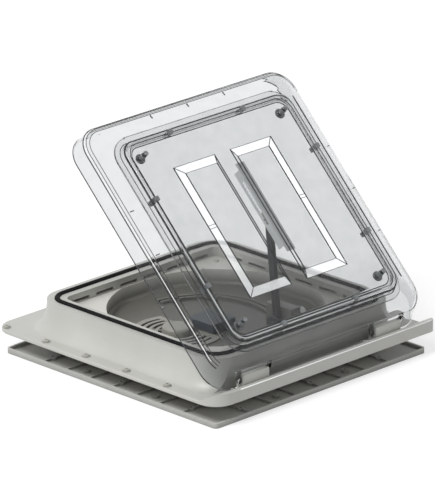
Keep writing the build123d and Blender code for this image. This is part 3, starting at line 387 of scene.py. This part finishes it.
# each node's finish, and how far its edges are broken in millimetres
nodeFinishes = {
    "base_frame": ("weatheredAsa", 0),
    "hinge_block_left": ("weatheredAsa", 0.8),
    "hinge_block_right": ("weatheredAsa", 0.8),
    "rim_seal": ("epdmRubber", 0),
    "flange_screws": ("capPaint", 0.25),
    "bowl_liner": ("linerAbs", 0),
    "fan_guard": ("guardAbs", 0.3),
    "motor_cowl": ("cowlAbs", 0),
    "control_box": ("blueAbs", 0.6),
    "control_lid": ("blueAbs", 0.5),
    "gear_housing": ("housingNylon", 0.8),
    "gear_cover": ("housingNylon", 0.5),
    "shaft_bracket": ("greyNylon", 0.6),
    "lift_motor": ("drawnSteel", 0.5),
    "fan_motor": ("blackPaint", 0.4),
    "fan_shroud": ("ductPolypropylene", 0.4),
    "inner_frame": ("texturedAbs", 0),
    "screen_frame": ("texturedAbs", 0.4),
    "screen_latch_left": ("whiteAcetal", 0.3),
    "screen_latch_right": ("whiteAcetal", 0.3),
    "latch_posts": ("whiteAcetal", 0.2),
    "fan_impeller": ("fanPolypropylene", 0),
    "drive_gear": ("naturalNylon", 0.1),
    "motor_pinion": ("naturalNylon", 0),
    "slide_shoe": ("naturalNylon", 0.3),
    "lift_arm": ("darkNylon", 0.8),
    "slide_rail": ("railNylon", 0.3),
    "hinge_bracket_left": ("darkNylon", 0.3),
    "hinge_bracket_right": ("darkNylon", 0.3),
    "pane_studs": ("greyNylon", 0.3),
    "dome_posts": ("postNylon", 0.4),
    "dome_bolts": ("blackZinc", 0.2),
    "rail_screws": ("zincSteel", 0.15),
    "liner_screws": ("zincSteel", 0.15),
    "guard_screws": ("zincSteel", 0.1),
    "cover_screws": ("zincSteel", 0.1),
    "clamp_screws": ("zincSteel", 0.15),
    "hinge_block_screws": ("zincSteel", 0.15),
    "hinge_pin_left": ("groundSteel", 0.2),
    "hinge_pin_right": ("groundSteel", 0.2),
    "arm_shaft": ("groundSteel", 0.2),
    "fan_shaft": ("groundSteel", 0.1),
    "pinion_shaft": ("groundSteel", 0.1),
    "shoe_pin": ("groundSteel", 0.1),
}
for node, (finish, bevelMm) in nodeFinishes.items():
    dressNode(node, finish, bevelMm)
print("nodes dressed", len(nodeFinishes))

# the smoked outer shell in millimetres, along from the hinge axis and high above it
dome = {
    "middle": 239.2, "half": 247.6, "draft": 2.3, "wall": 3.0, "lean": 12,
    "corner": 44, "leastCorner": 22, "cornerShrinkShare": 0.5, "cornerSteps": 14,
    "bottom": -8.6, "skirtTop": 28.7, "shoulder": 8.2, "shoulderSteps": 8,
    "edgeHalf": 197, "edgeTop": 57, "slopeSteps": 7, "slopeBow": 1.2,
    "flatHalf": 160, "top": 60, "crownSteps": 6, "crownBow": 0.9, "flatShares": (0.7, 0.4, 0.1),
    "notchNear": 121.4, "notchFar": 191.6, "notchTop": 17, "notchDeep": 14, "notchCut": 40,
}


def roundedSquare(half, corner, steps, lean=0):
    # points round a square with arcs at its corners, its hinge side drawn in by a lean
    places = []
    for quarter, (sx, sy) in enumerate(((1, 1), (-1, 1), (-1, -1), (1, -1))):
        for i in range(steps + 1):
            turn = math.radians(90 * quarter + 90 * i / steps)
            places.append((sx * (half - corner) + corner * math.cos(turn),
                           lean / 2 + sy * (half - lean / 2 - corner) + corner * math.sin(turn)))
    return places


def addRings(work, levels):
    # rings of a shell in the dome's frame, each half width, corner, height and lean in millimetres
    return [[work.verts.new(domeTurn @ Vector((x * mm, (dome["middle"] + y) * mm, height * mm)))
             for x, y in roundedSquare(half, corner, dome["cornerSteps"], lean)]
            for half, corner, height, lean in levels]


def makeShell(name, outer, inner):
    # an outer and an inner skin joined at their first ring and closed at their last
    work = bmesh.new()
    outerRings, innerRings = addRings(work, outer), addRings(work, inner)
    pairs = list(zip(outerRings, outerRings[1:])) + list(zip(innerRings, innerRings[1:]))
    for low, high in pairs + [(outerRings[0], innerRings[0])]:
        for i in range(len(low)):
            j = (i + 1) % len(low)
            work.faces.new((low[i], low[j], high[j], high[i]))
    work.faces.new(outerRings[-1])
    work.faces.new(innerRings[-1])
    bmesh.ops.remove_doubles(work, verts=work.verts, dist=meshing["shellMerge"] * mm)
    bmesh.ops.recalc_face_normals(work, faces=work.faces)
    return meshFrom(work, name)


def domeCorner(half):
    return max(dome["corner"] - (dome["half"] - half), dome["leastCorner"])


def arcLevels(halfStart, heightStart, radius, steps, lean=0):
    # a quarter round from a wall into a top
    levels = []
    for i in range(steps + 1):
        turn = math.radians(90 * i / steps)
        half = halfStart - radius * (1 - math.cos(turn))
        levels.append((half, domeCorner(half), heightStart + radius * math.sin(turn), lean))
    return levels


def easedLevels(first, last, steps, bow):
    # the levels between two, bowed outwards by some millimetres
    levels = []
    for i in range(1, steps):
        share = i / steps
        half, height, lean = [one + (other - one) * share for one, other in zip(first, last)]
        levels.append((half, domeCorner(half), height + bow * math.sin(math.pi * share), lean))
    return levels


def domeSkin(inset):
    # skirt, shoulder, slope and crown, from the skirt's foot up
    half, edge = dome["half"] - inset, dome["half"] - dome["draft"] - inset
    start = dome["skirtTop"] - dome["shoulder"] - inset
    footCorner = domeCorner(dome["half"]) - inset * dome["cornerShrinkShare"]
    levels = [(half, footCorner, dome["bottom"], 0)]
    levels += arcLevels(edge, start, dome["shoulder"], dome["shoulderSteps"], dome["lean"])
    foot = (edge - dome["shoulder"], dome["skirtTop"] - inset, dome["lean"])
    crown = (dome["edgeHalf"] - inset, dome["edgeTop"] - inset, 0)
    flat = (dome["flatHalf"] - inset, dome["top"] - inset, 0)
    levels += easedLevels(foot, crown, dome["slopeSteps"], dome["slopeBow"])
    levels.append((crown[0], domeCorner(crown[0]), crown[1], 0))
    levels += easedLevels(crown, flat, dome["crownSteps"], dome["crownBow"])
    levels.append((flat[0], domeCorner(flat[0]), flat[1], 0))
    for share in dome["flatShares"]:
        levels.append((flat[0] * share, dome["leastCorner"] * share, flat[1], 0))
    return levels


def notchCutter(side):
    # a block that clears a hinge block's space out of the skirt
    work = bmesh.new()
    bmesh.ops.create_cube(work, size=1.0)
    near, far = dome["notchNear"], dome["notchFar"]
    place = Vector((side * (near + far) / 2, 0, dome["notchTop"] - dome["notchCut"] / 2))
    size = Vector((far - near, 2 * dome["notchDeep"], dome["notchCut"]))
    shape = Matrix.Diagonal((*(size * mm), 1.0))
    bmesh.ops.transform(work, matrix=domeTurn @ Matrix.Translation(place * mm) @ shape, verts=work.verts)
    return newHolder("notchCutter", meshFrom(work, "notchCutter"))


def makeOuterDome():
    holder = newHolder("domeWork", makeShell("domeShell", domeSkin(0), domeSkin(dome["wall"])))
    cutters = [notchCutter(side) for side in (-1, 1)]
    for cutter in cutters:
        boolean = holder.modifiers.new("notch", "BOOLEAN")
        boolean.operation = "DIFFERENCE"
        boolean.solver = "EXACT"
        boolean.object = cutter
    mesh = settle(holder)
    for cutter in cutters:
        bpy.data.objects.remove(cutter)
    smoothMesh(mesh, meshing["shellSharpAngle"])
    finishPiece("smokedDomeShell", mesh, "smokeAcrylic", "dome", "dome_tint", ("outer_dome",))


# the clear inner pane in millimetres, from the flange over the bead into the well,
# where brim, slope and heel lie outside the well's wall and the toe inside it
pane = {
    "wall": 3.0, "cornerShrinkShare": 0.5,
    "flangeHalf": 208, "flangeCorner": 40, "flangeLow": 35.7, "flangeHigh": 38.2,
    "footHalf": 196, "footCorner": 28,
    "beadHalf": 194, "beadCorner": 26, "beadTop": 50, "beadRound": 2.5, "beadSteps": 4,
    "brim": 9, "brimCorner": 25,
    "slope": 6, "slopeCorner": 23, "slopeFall": 1.2,
    "heel": 1, "heelCorner": 21, "heelRise": 0.8,
    "wellHalf": 183, "wellCorner": 20, "wellTop": 45, "toe": 1.5, "floorHalf": 169,
}


def paneSkin(drop):
    foot = pane["flangeLow"] if drop else pane["flangeHigh"]
    top = pane["beadTop"] - drop
    well = pane["wellHalf"] - drop
    floor = pane["wellTop"] - drop
    crest = arcLevels(pane["beadHalf"] - drop, top - pane["beadRound"], pane["beadRound"], pane["beadSteps"])
    levels = [(pane["flangeHalf"], pane["flangeCorner"], foot, 0)]
    levels.append((pane["footHalf"] - drop, pane["footCorner"] - drop * pane["cornerShrinkShare"], foot, 0))
    levels += [(half, pane["beadCorner"], height, lean) for half, corner, height, lean in crest]
    levels.append((well + pane["brim"] - drop, pane["brimCorner"], top, 0))
    levels.append((well + pane["slope"], pane["slopeCorner"], top - pane["slopeFall"], 0))
    levels.append((well + pane["heel"], pane["heelCorner"], floor + pane["heelRise"], 0))
    levels.append((well - pane["toe"], pane["wellCorner"], floor, 0))
    levels.append((pane["floorHalf"], pane["wellCorner"], floor, 0))
    return levels


def makeClearPane():
    mesh = makeShell("clearPane", paneSkin(0), paneSkin(pane["wall"]))
    smoothMesh(mesh, meshing["shellSharpAngle"])
    finishPiece("clearInnerPane", mesh, "clearAcrylic", "dome", "pane_clear", ("inner_pane",))


makeOuterDome()
makeClearPane()
print("dome and pane made")

# thin beads: how many sides they have, and how short a sideways vector counts as none
bead = {"sides": 6, "panelSides": 5, "lipSides": 8, "noLength": 0.001}


def tubeAlong(points, radius, sides=bead["sides"], closed=True, turn=domeTurn):
    # a bead along a line of points in millimetres, in the dome's own frame or another
    work = bmesh.new()
    count = len(points)
    rings = []
    for i, point in enumerate(points):
        before = points[i - 1] if closed or i else point
        after = points[(i + 1) % count] if closed or i < count - 1 else point
        along = (Vector(after) - Vector(before)).normalized()
        side = along.cross(Vector((0, 0, 1)))
        side = side.normalized() if side.length > bead["noLength"] else Vector((1, 0, 0))
        lift = side.cross(along)
        ring = []
        for k in range(sides):
            around = 2 * math.pi * k / sides
            spot = Vector(point) + radius * (side * math.cos(around) + lift * math.sin(around))
            ring.append(work.verts.new(turn @ (spot * mm)))
        rings.append(ring)
    pairs = [(rings[i], rings[(i + 1) % count]) for i in range(count if closed else count - 1)]
    for low, high in pairs:
        for k in range(sides):
            work.faces.new((low[k], low[(k + 1) % sides], high[(k + 1) % sides], high[k]))
    if not closed:
        work.faces.new(rings[0])
        work.faces.new(rings[-1])
    bmesh.ops.recalc_face_normals(work, faces=work.faces)
    mesh = meshFrom(work, "bead")
    for face in mesh.polygons:
        face.use_smooth = True
    return mesh


def joinMeshes(name, meshes):
    work = bmesh.new()
    for mesh in meshes:
        work.from_mesh(mesh)
        bpy.data.meshes.remove(mesh)
    return meshFrom(work, name)


# beads along the shells' moulded edges, dark ones of painted refraction and white ones of painted highlight:
# half width, corner, height, lean and bead radius in millimetres, and the corners that the line runs from
# and to, counted from the far right one, where 0 to 4 goes all round
allRound = 4
edgeLines = {
    "domeSkirtEdge": (246.9, 43.3, -8.3, 0, 1.0, 0, 2.4),
    "domeShoulderEdge": (245.0, 41, 22.6, 12, 1.0, 0, 2.4),
    "domeRoundEdge": (241.6, 38, 26.9, 12, 0.6, 0, 2.4),
    "crownFootEdge": (236.4, 33, 29.4, 12, 0.6, 0, 2.4),
    "paneFlangeEdge": (207.0, 39, 37.6, 0, 0.35, 0, allRound),
    "paneFootEdge": (197.5, 28, 38.6, 0, 0.7, 0, allRound),
    "paneBeadEdge": (194.5, 26.5, 47.0, 0, 1.7, 0, allRound),
    "paneCrestEdge": (187.6, 24, 49.6, 0, 0.6, 0, allRound),
    "paneWellEdge": (182.5, 20, 45.6, 0, 0.9, 0, allRound),
}
# white beads that paint highlights on the dome's shoulder and on the pane's bead and well
glintLines = {
    "domeShoulderGlint": (243.4, 40, 25.4, 12, 0.65, 1, 2.2),
    "paneBeadGlint": (191.0, 25, 49.6, 0, 1.1, 0, allRound),
    "paneWellGlint": (185.2, 22, 45.9, 0, 0.9, 0, allRound),
}


def makeEdge(name, edge, finish):
    half, corner, height, lean, radius, first, last = edge
    square = roundedSquare(half, corner, dome["cornerSteps"], lean)
    perCorner = dome["cornerSteps"] + 1
    line = [(x, dome["middle"] + y, height) for x, y in square][int(first * perCorner):int(last * perCorner)]
    mesh = tubeAlong(line, radius, closed=last - first == allRound)
    finishPiece(name, mesh, finish, "dome", "pane_clear")


# dark beads of painted refraction along the shells' edges
for name, edge in edgeLines.items():
    makeEdge(name, edge, "paintedDarkRefraction")
# white beads of painted highlight
for name, edge in glintLines.items():
    makeEdge(name, edge, "paintedGlint")

# a painted highlight: a bright bead along the front lip's rounded top edge, in millimetres
lipHighlight = {"top": 20.5, "inset": 0.6, "radius": 0.85, "from": -203, "to": 250}


def makeLipHighlight():
    along = cadLow[1] / mm + lipHighlight["inset"]
    line = [(lipHighlight["from"], along, lipHighlight["top"]), (lipHighlight["to"], along, lipHighlight["top"])]
    mesh = tubeAlong(line, lipHighlight["radius"], bead["lipSides"], False, noTurn)
    finishPiece("lipHighlight", mesh, "paintedGlint", "base", slotOf["base_frame"])


makeLipHighlight()

# the two raised panels of the pane in millimetres: the channel between them, the far side, both ends,
# the bevel and its slimmer share beside the channel, and the marks across the outer bevel
panel = {
    "channel": 37, "farX": 114, "near": 112, "far": 368, "bevel": 16, "slimShare": 0.35, "rise": 2.0,
    "lift": 0.1, "lip": 0.3, "lowLine": 0.4, "lineLift": 0.1, "seamLift": 0.5,
    "edgeRadius": 1.1, "seamRadius": 0.7, "markRadius": 0.5, "markPast": 10, "markApart": 3,
}


def panelCorners(side, slim, bevel):
    # four corners of a panel, drawn in from its foot by a slim and by a full bevel
    nearX, farX = panel["channel"] / 2 + slim, panel["farX"] - bevel
    near, far = panel["near"] + bevel, panel["far"] - bevel
    return [(side * nearX, near), (side * farX, near), (side * farX, far), (side * nearX, far)]


def makePanelStrips(low, high, bottom):
    # three sloping strips round the panel, open to the channel
    work = bmesh.new()
    outer, inner, outerLow, innerLow = [
        [work.verts.new(domeTurn @ (Vector((x, y, height)) * mm)) for x, y in corners]
        for corners, height in ((low, bottom + panel["lip"]), (high, bottom + panel["rise"]),
                                (low, bottom), (high, bottom))]
    for i in range(3):
        j = i + 1
        for one, other in ((outer, inner), (innerLow, outerLow), (outerLow, outer), (inner, innerLow)):
            work.faces.new((one[i], one[j], other[j], other[i]))
    for i in (0, 3):
        work.faces.new((outerLow[i], outer[i], inner[i], innerLow[i]))
    bmesh.ops.recalc_face_normals(work, faces=work.faces)
    return meshFrom(work, "panelStrips")


def makePanelLines(low, high, bottom):
    # dark lines of painted refraction round the foot and the top, down the corners, and two marks across the
    # outer bevel
    sides, top = bead["panelSides"], bottom + panel["rise"]
    seamFoot = bottom + panel["seamLift"]
    lines = []
    for corners, height in ((low, bottom + panel["lowLine"]), (high, top + panel["lineLift"])):
        lines.append(tubeAlong([(x, y, height) for x, y in corners], panel["edgeRadius"], sides))
    for (x0, y0), (x1, y1) in zip(low, high):
        lines.append(tubeAlong([(x0, y0, seamFoot), (x1, y1, top)], panel["seamRadius"], sides, False))
    middle = (panel["near"] + panel["far"]) / 2 + panel["markPast"]
    for offset in (-panel["markApart"], panel["markApart"]):
        mark = [(low[1][0], middle + offset, seamFoot), (high[1][0], middle + offset, top)]
        lines.append(tubeAlong(mark, panel["markRadius"], sides, False))
    return joinMeshes("panelLines", lines)


def makePanel(side, word):
    low = panelCorners(side, 0, 0)
    high = panelCorners(side, panel["bevel"] * panel["slimShare"], panel["bevel"])
    bottom = pane["wellTop"] + panel["lift"]
    strips = makePanelStrips(low, high, bottom)
    # the bevels glow white, a painted reflection
    finishPiece(word + "PanelBevel", strips, "paintedBevelGlow", "dome", "pane_clear")
    lines = makePanelLines(low, high, bottom)
    # the panel's dark lines are painted refraction
    finishPiece(word + "PanelEdges", lines, "paintedDarkRefraction", "dome", "pane_clear")


makePanel(-1, "left")
makePanel(1, "right")
print("pane edges and panels made")


def rowTree():
    # blocks along a straight line, from named sizes
    tree = bpy.data.node_groups.new("rowOfBlocks", "GeometryNodeTree")
    for name, kind in (("Count", "NodeSocketInt"), ("Start", "NodeSocketVector"),
                       ("Step", "NodeSocketVector"), ("Size", "NodeSocketVector"),
                       ("Finish", "NodeSocketMaterial")):
        tree.interface.new_socket(name=name, in_out="INPUT", socket_type=kind)
    tree.interface.new_socket(name="Geometry", in_out="OUTPUT", socket_type="NodeSocketGeometry")
    given = addNode(tree, "NodeGroupInput")
    line = addNode(tree, "GeometryNodeMeshLine", {"Count": given["Count"], "Start Location": given["Start"],
                                                  "Offset": given["Step"]})
    block = addNode(tree, "GeometryNodeMeshCube", {"Size": given["Size"]})
    placed = addNode(tree, "GeometryNodeInstanceOnPoints", {"Points": line["Mesh"],
                                                            "Instance": block["Mesh"]})
    real = addNode(tree, "GeometryNodeRealizeInstances", {"Geometry": placed["Instances"]})
    ends = addNode(tree, "GeometryNodeSetMaterial", {"Geometry": real["Geometry"],
                                                     "Material": given["Finish"]})
    addNode(tree, "NodeGroupOutput", {"Geometry": ends["Geometry"]})
    return tree


blockRow = rowTree()


def makeRow(count, start, step, size, finish, turn):
    # one row as a plain mesh, its sizes in millimetres
    holder = newHolder("rowWork", bpy.data.meshes.new("rowWork"))
    modifier = holder.modifiers.new("row", "NODES")
    modifier.node_group = blockRow
    given = {"Count": count, "Start": Vector(start) * mm, "Step": Vector(step) * mm,
             "Size": Vector(size) * mm, "Finish": finishes[finish]}
    for socket in blockRow.interface.items_tree:
        if socket.in_out == "INPUT":
            modifier[socket.identifier] = given[socket.name]
    mesh = settle(holder)
    mesh.transform(turn)
    return mesh


# rows on the dome's sides in millimetres: how far out and high they stand, and each block's sizes
rimRibs = {"count": 3, "step": 85, "out": 230, "height": 32.0, "deep": 8, "wide": 1.0, "tall": 3}
clipPins = {"count": 2, "step": 170, "out": 188.5, "height": 45.5, "deep": 8, "wide": 8, "tall": 21}


def sideRow(row, side, finish):
    # a row down the dome's left side for -1 or its right side for 1
    first = dome["middle"] - row["step"] * (row["count"] - 1) / 2
    return makeRow(row["count"], (side * row["out"], first, row["height"]), (0, row["step"], 0),
                   (row["deep"], row["wide"], row["tall"]), finish, domeTurn)


def endRow(row, end, finish):
    # a row across the dome's hinge side for -1 or its free edge for 1
    first = -row["step"] * (row["count"] - 1) / 2
    return makeRow(row["count"], (first, dome["middle"] + end * row["out"], row["height"]),
                   (row["step"], 0, 0), (row["wide"], row["deep"], row["tall"]), finish, domeTurn)


def makeDomeTicks():
    # short ribs moulded into the foot of the slope, dark with painted refraction, and the pins of the clips
    # inside the bead
    ribs = [sideRow(rimRibs, side, "paintedDarkRefraction") for side in (-1, 1)]
    ribs.append(endRow(rimRibs, 1, "paintedDarkRefraction"))
    finishPiece("rimRibs", joinMeshes("rimRibs", ribs), "paintedDarkRefraction", "dome", "dome_tint")
    pins = [make(clipPins, end, "postNylon") for end in (-1, 1) for make in (sideRow, endRow)]
    finishPiece("clipPins", joinMeshes("clipPins", pins), "postNylon", "dome", "stud_grey")


# fine ribs down both sides of the slide rail, and vent bands on the lift motor, in millimetres
railRibs = {"count": 22, "step": 6.6, "out": 9.6, "first": 186, "height": 31, "size": (0.9, 1.6, 7)}
motorBands = {"count": 9, "step": 3, "back": 6, "sunk": 0.4, "size": (1.2, 8, 1.0)}


def makeRailRibs():
    low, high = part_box("lift_arm")
    middleX = (low[0] + high[0]) / 2 / mm
    ribs = []
    for side in (-1, 1):
        start = (middleX + side * railRibs["out"], railRibs["first"], railRibs["height"])
        ribs.append(makeRow(railRibs["count"], start, (0, railRibs["step"], 0), railRibs["size"],
                            "railNylon", domeTurn))
    finishPiece("railRibs", joinMeshes("railRibs", ribs), "railNylon", "dome", "rail_grey")


def makeMotorBands():
    low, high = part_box("lift_motor")
    middle = (low + high) / 2 / mm
    start = (middle[0] - motorBands["back"], middle[1], high[2] / mm - motorBands["sunk"])
    bands = makeRow(motorBands["count"], start, (motorBands["step"], 0, 0), motorBands["size"],
                    "blackPaint", noTurn)
    finishPiece("motorVents", bands, "blackPaint", "base", "motor_can")


# a net of crossed strands in place of the node's flat one, in millimetres, and coarser than a real
# fly net, whose holes are too fine to show
netSizes = {"strands": 110, "thick": 0.45, "lift": 0.2}


def makeNet():
    low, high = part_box("fly_screen")
    span = (high[0] - low[0]) / mm
    step = span / (netSizes["strands"] + 1)
    middleZ = (low[2] + high[2]) / 2 / mm
    weave = []
    for crossed, lift in ((False, netSizes["lift"]), (True, -netSizes["lift"])):
        start = [low[0] / mm + span / 2, low[1] / mm + step, middleZ + lift]
        move = [0, step, 0]
        size = [span, netSizes["thick"], netSizes["thick"]]
        if crossed:
            for values in (start, move, size):
                values[:2] = reversed(values[:2])
        weave.append(makeRow(netSizes["strands"], start, move, size, "netPolyester", noTurn))
    net = joinMeshes("flyNet", weave)
    finishPiece("flyNet", net, "netPolyester", "base", "screen_black", ("fly_screen",))


makeDomeTicks()
makeRailRibs()
makeMotorBands()
makeNet()
print("ribs, clips and net made")

# floor, light and camera: lengths in metres, angles in degrees, greys and levels from 0 to 1
stage = {
    "floorSize": 6.0, "floorDrop": 0.0005, "floorSeen": 0.45, "floorGlow": 0.64, "floorPlain": 0.7,
    "worldLevel": 0.46, "sunPower": 2.0, "sunAngle": 22, "sunFrom": (-0.62, 0.0, 0.78),
    "aim": (0.00177, -0.00177, 0.1482), "distance": 11.497, "azimuth": -45, "elevation": 20,
    "lens": 500, "sensor": 36, "clipEnd": 100,
}


def makeStage():
    # the floor looks nearly white, but the light that it throws back on the vent is a plain grey's
    work = bmesh.new()
    bmesh.ops.create_grid(work, x_segments=1, y_segments=1, size=stage["floorSize"] / 2)
    mesh = meshFrom(work, "floor")
    mesh.transform(Matrix.Translation((0, 0, cadLow[2] - stage["floorDrop"])))
    material, tree = newMaterial("paintedFloor")
    seenGrey, plainGrey = [(level, level, level, 1) for level in (stage["floorSeen"], stage["floorPlain"])]
    seen = anyRay(tree, "Is Camera Ray", "Is Glossy Ray", "Is Transmission Ray")
    dull = addNode(tree, "ShaderNodeBsdfDiffuse", {"Color": seenGrey})[0]
    glow = addNode(tree, "ShaderNodeEmission", {"Color": (1, 1, 1, 1), "Strength": stage["floorGlow"]})[0]
    both = addNode(tree, "ShaderNodeAddShader", {0: dull, 1: glow})[0]
    plain = addNode(tree, "ShaderNodeBsdfDiffuse", {"Color": plainGrey})[0]
    mix = addNode(tree, "ShaderNodeMixShader", {0: seen, 1: plain, 2: both})[0]
    addNode(tree, "ShaderNodeOutputMaterial", {"Surface": mix})
    mesh.materials.append(material)
    newHolder("floor", mesh)


def makeLight():
    # a white surround that lights the vent at a lower level than it is seen at, and one soft sun
    world = bpy.data.worlds.new("studio")
    bpy.context.scene.world = world
    world.use_nodes = True
    tree = world.node_tree
    tree.nodes.clear()
    seen = anyRay(tree, "Is Camera Ray", "Is Glossy Ray", "Is Transmission Ray")
    level = addNode(tree, "ShaderNodeMapRange", {"Value": seen, "To Min": stage["worldLevel"],
                                                 "To Max": 1.0})["Result"]
    back = addNode(tree, "ShaderNodeBackground", {"Color": (1, 1, 1, 1), "Strength": level})[0]
    addNode(tree, "ShaderNodeOutputWorld", {"Surface": back})
    sun = bpy.data.lights.new("softSun", "SUN")
    sun.energy = stage["sunPower"]
    sun.angle = math.radians(stage["sunAngle"])
    lamp = newHolder("softSun", sun)
    lamp.rotation_mode = "QUATERNION"
    lamp.rotation_quaternion = Vector(stage["sunFrom"]).to_track_quat("Z", "Y")


def makeCamera():
    camera = newHolder("camera", bpy.data.cameras.new("camera"))
    camera.data.lens = stage["lens"]
    camera.data.sensor_width = stage["sensor"]
    camera.data.clip_end = stage["clipEnd"]
    turn, rise = math.radians(stage["azimuth"]), math.radians(stage["elevation"])
    back = Vector((math.sin(turn) * math.cos(rise), -math.cos(turn) * math.cos(rise), math.sin(rise)))
    camera.location = Vector(stage["aim"]) + back * stage["distance"]
    camera.rotation_mode = "QUATERNION"
    camera.rotation_quaternion = (-back).to_track_quat("-Z", "Y")
    bpy.context.scene.camera = camera
    bpy.context.scene.view_settings.view_transform = "Standard"


makeStage()
makeLight()
makeCamera()
print("stage made")
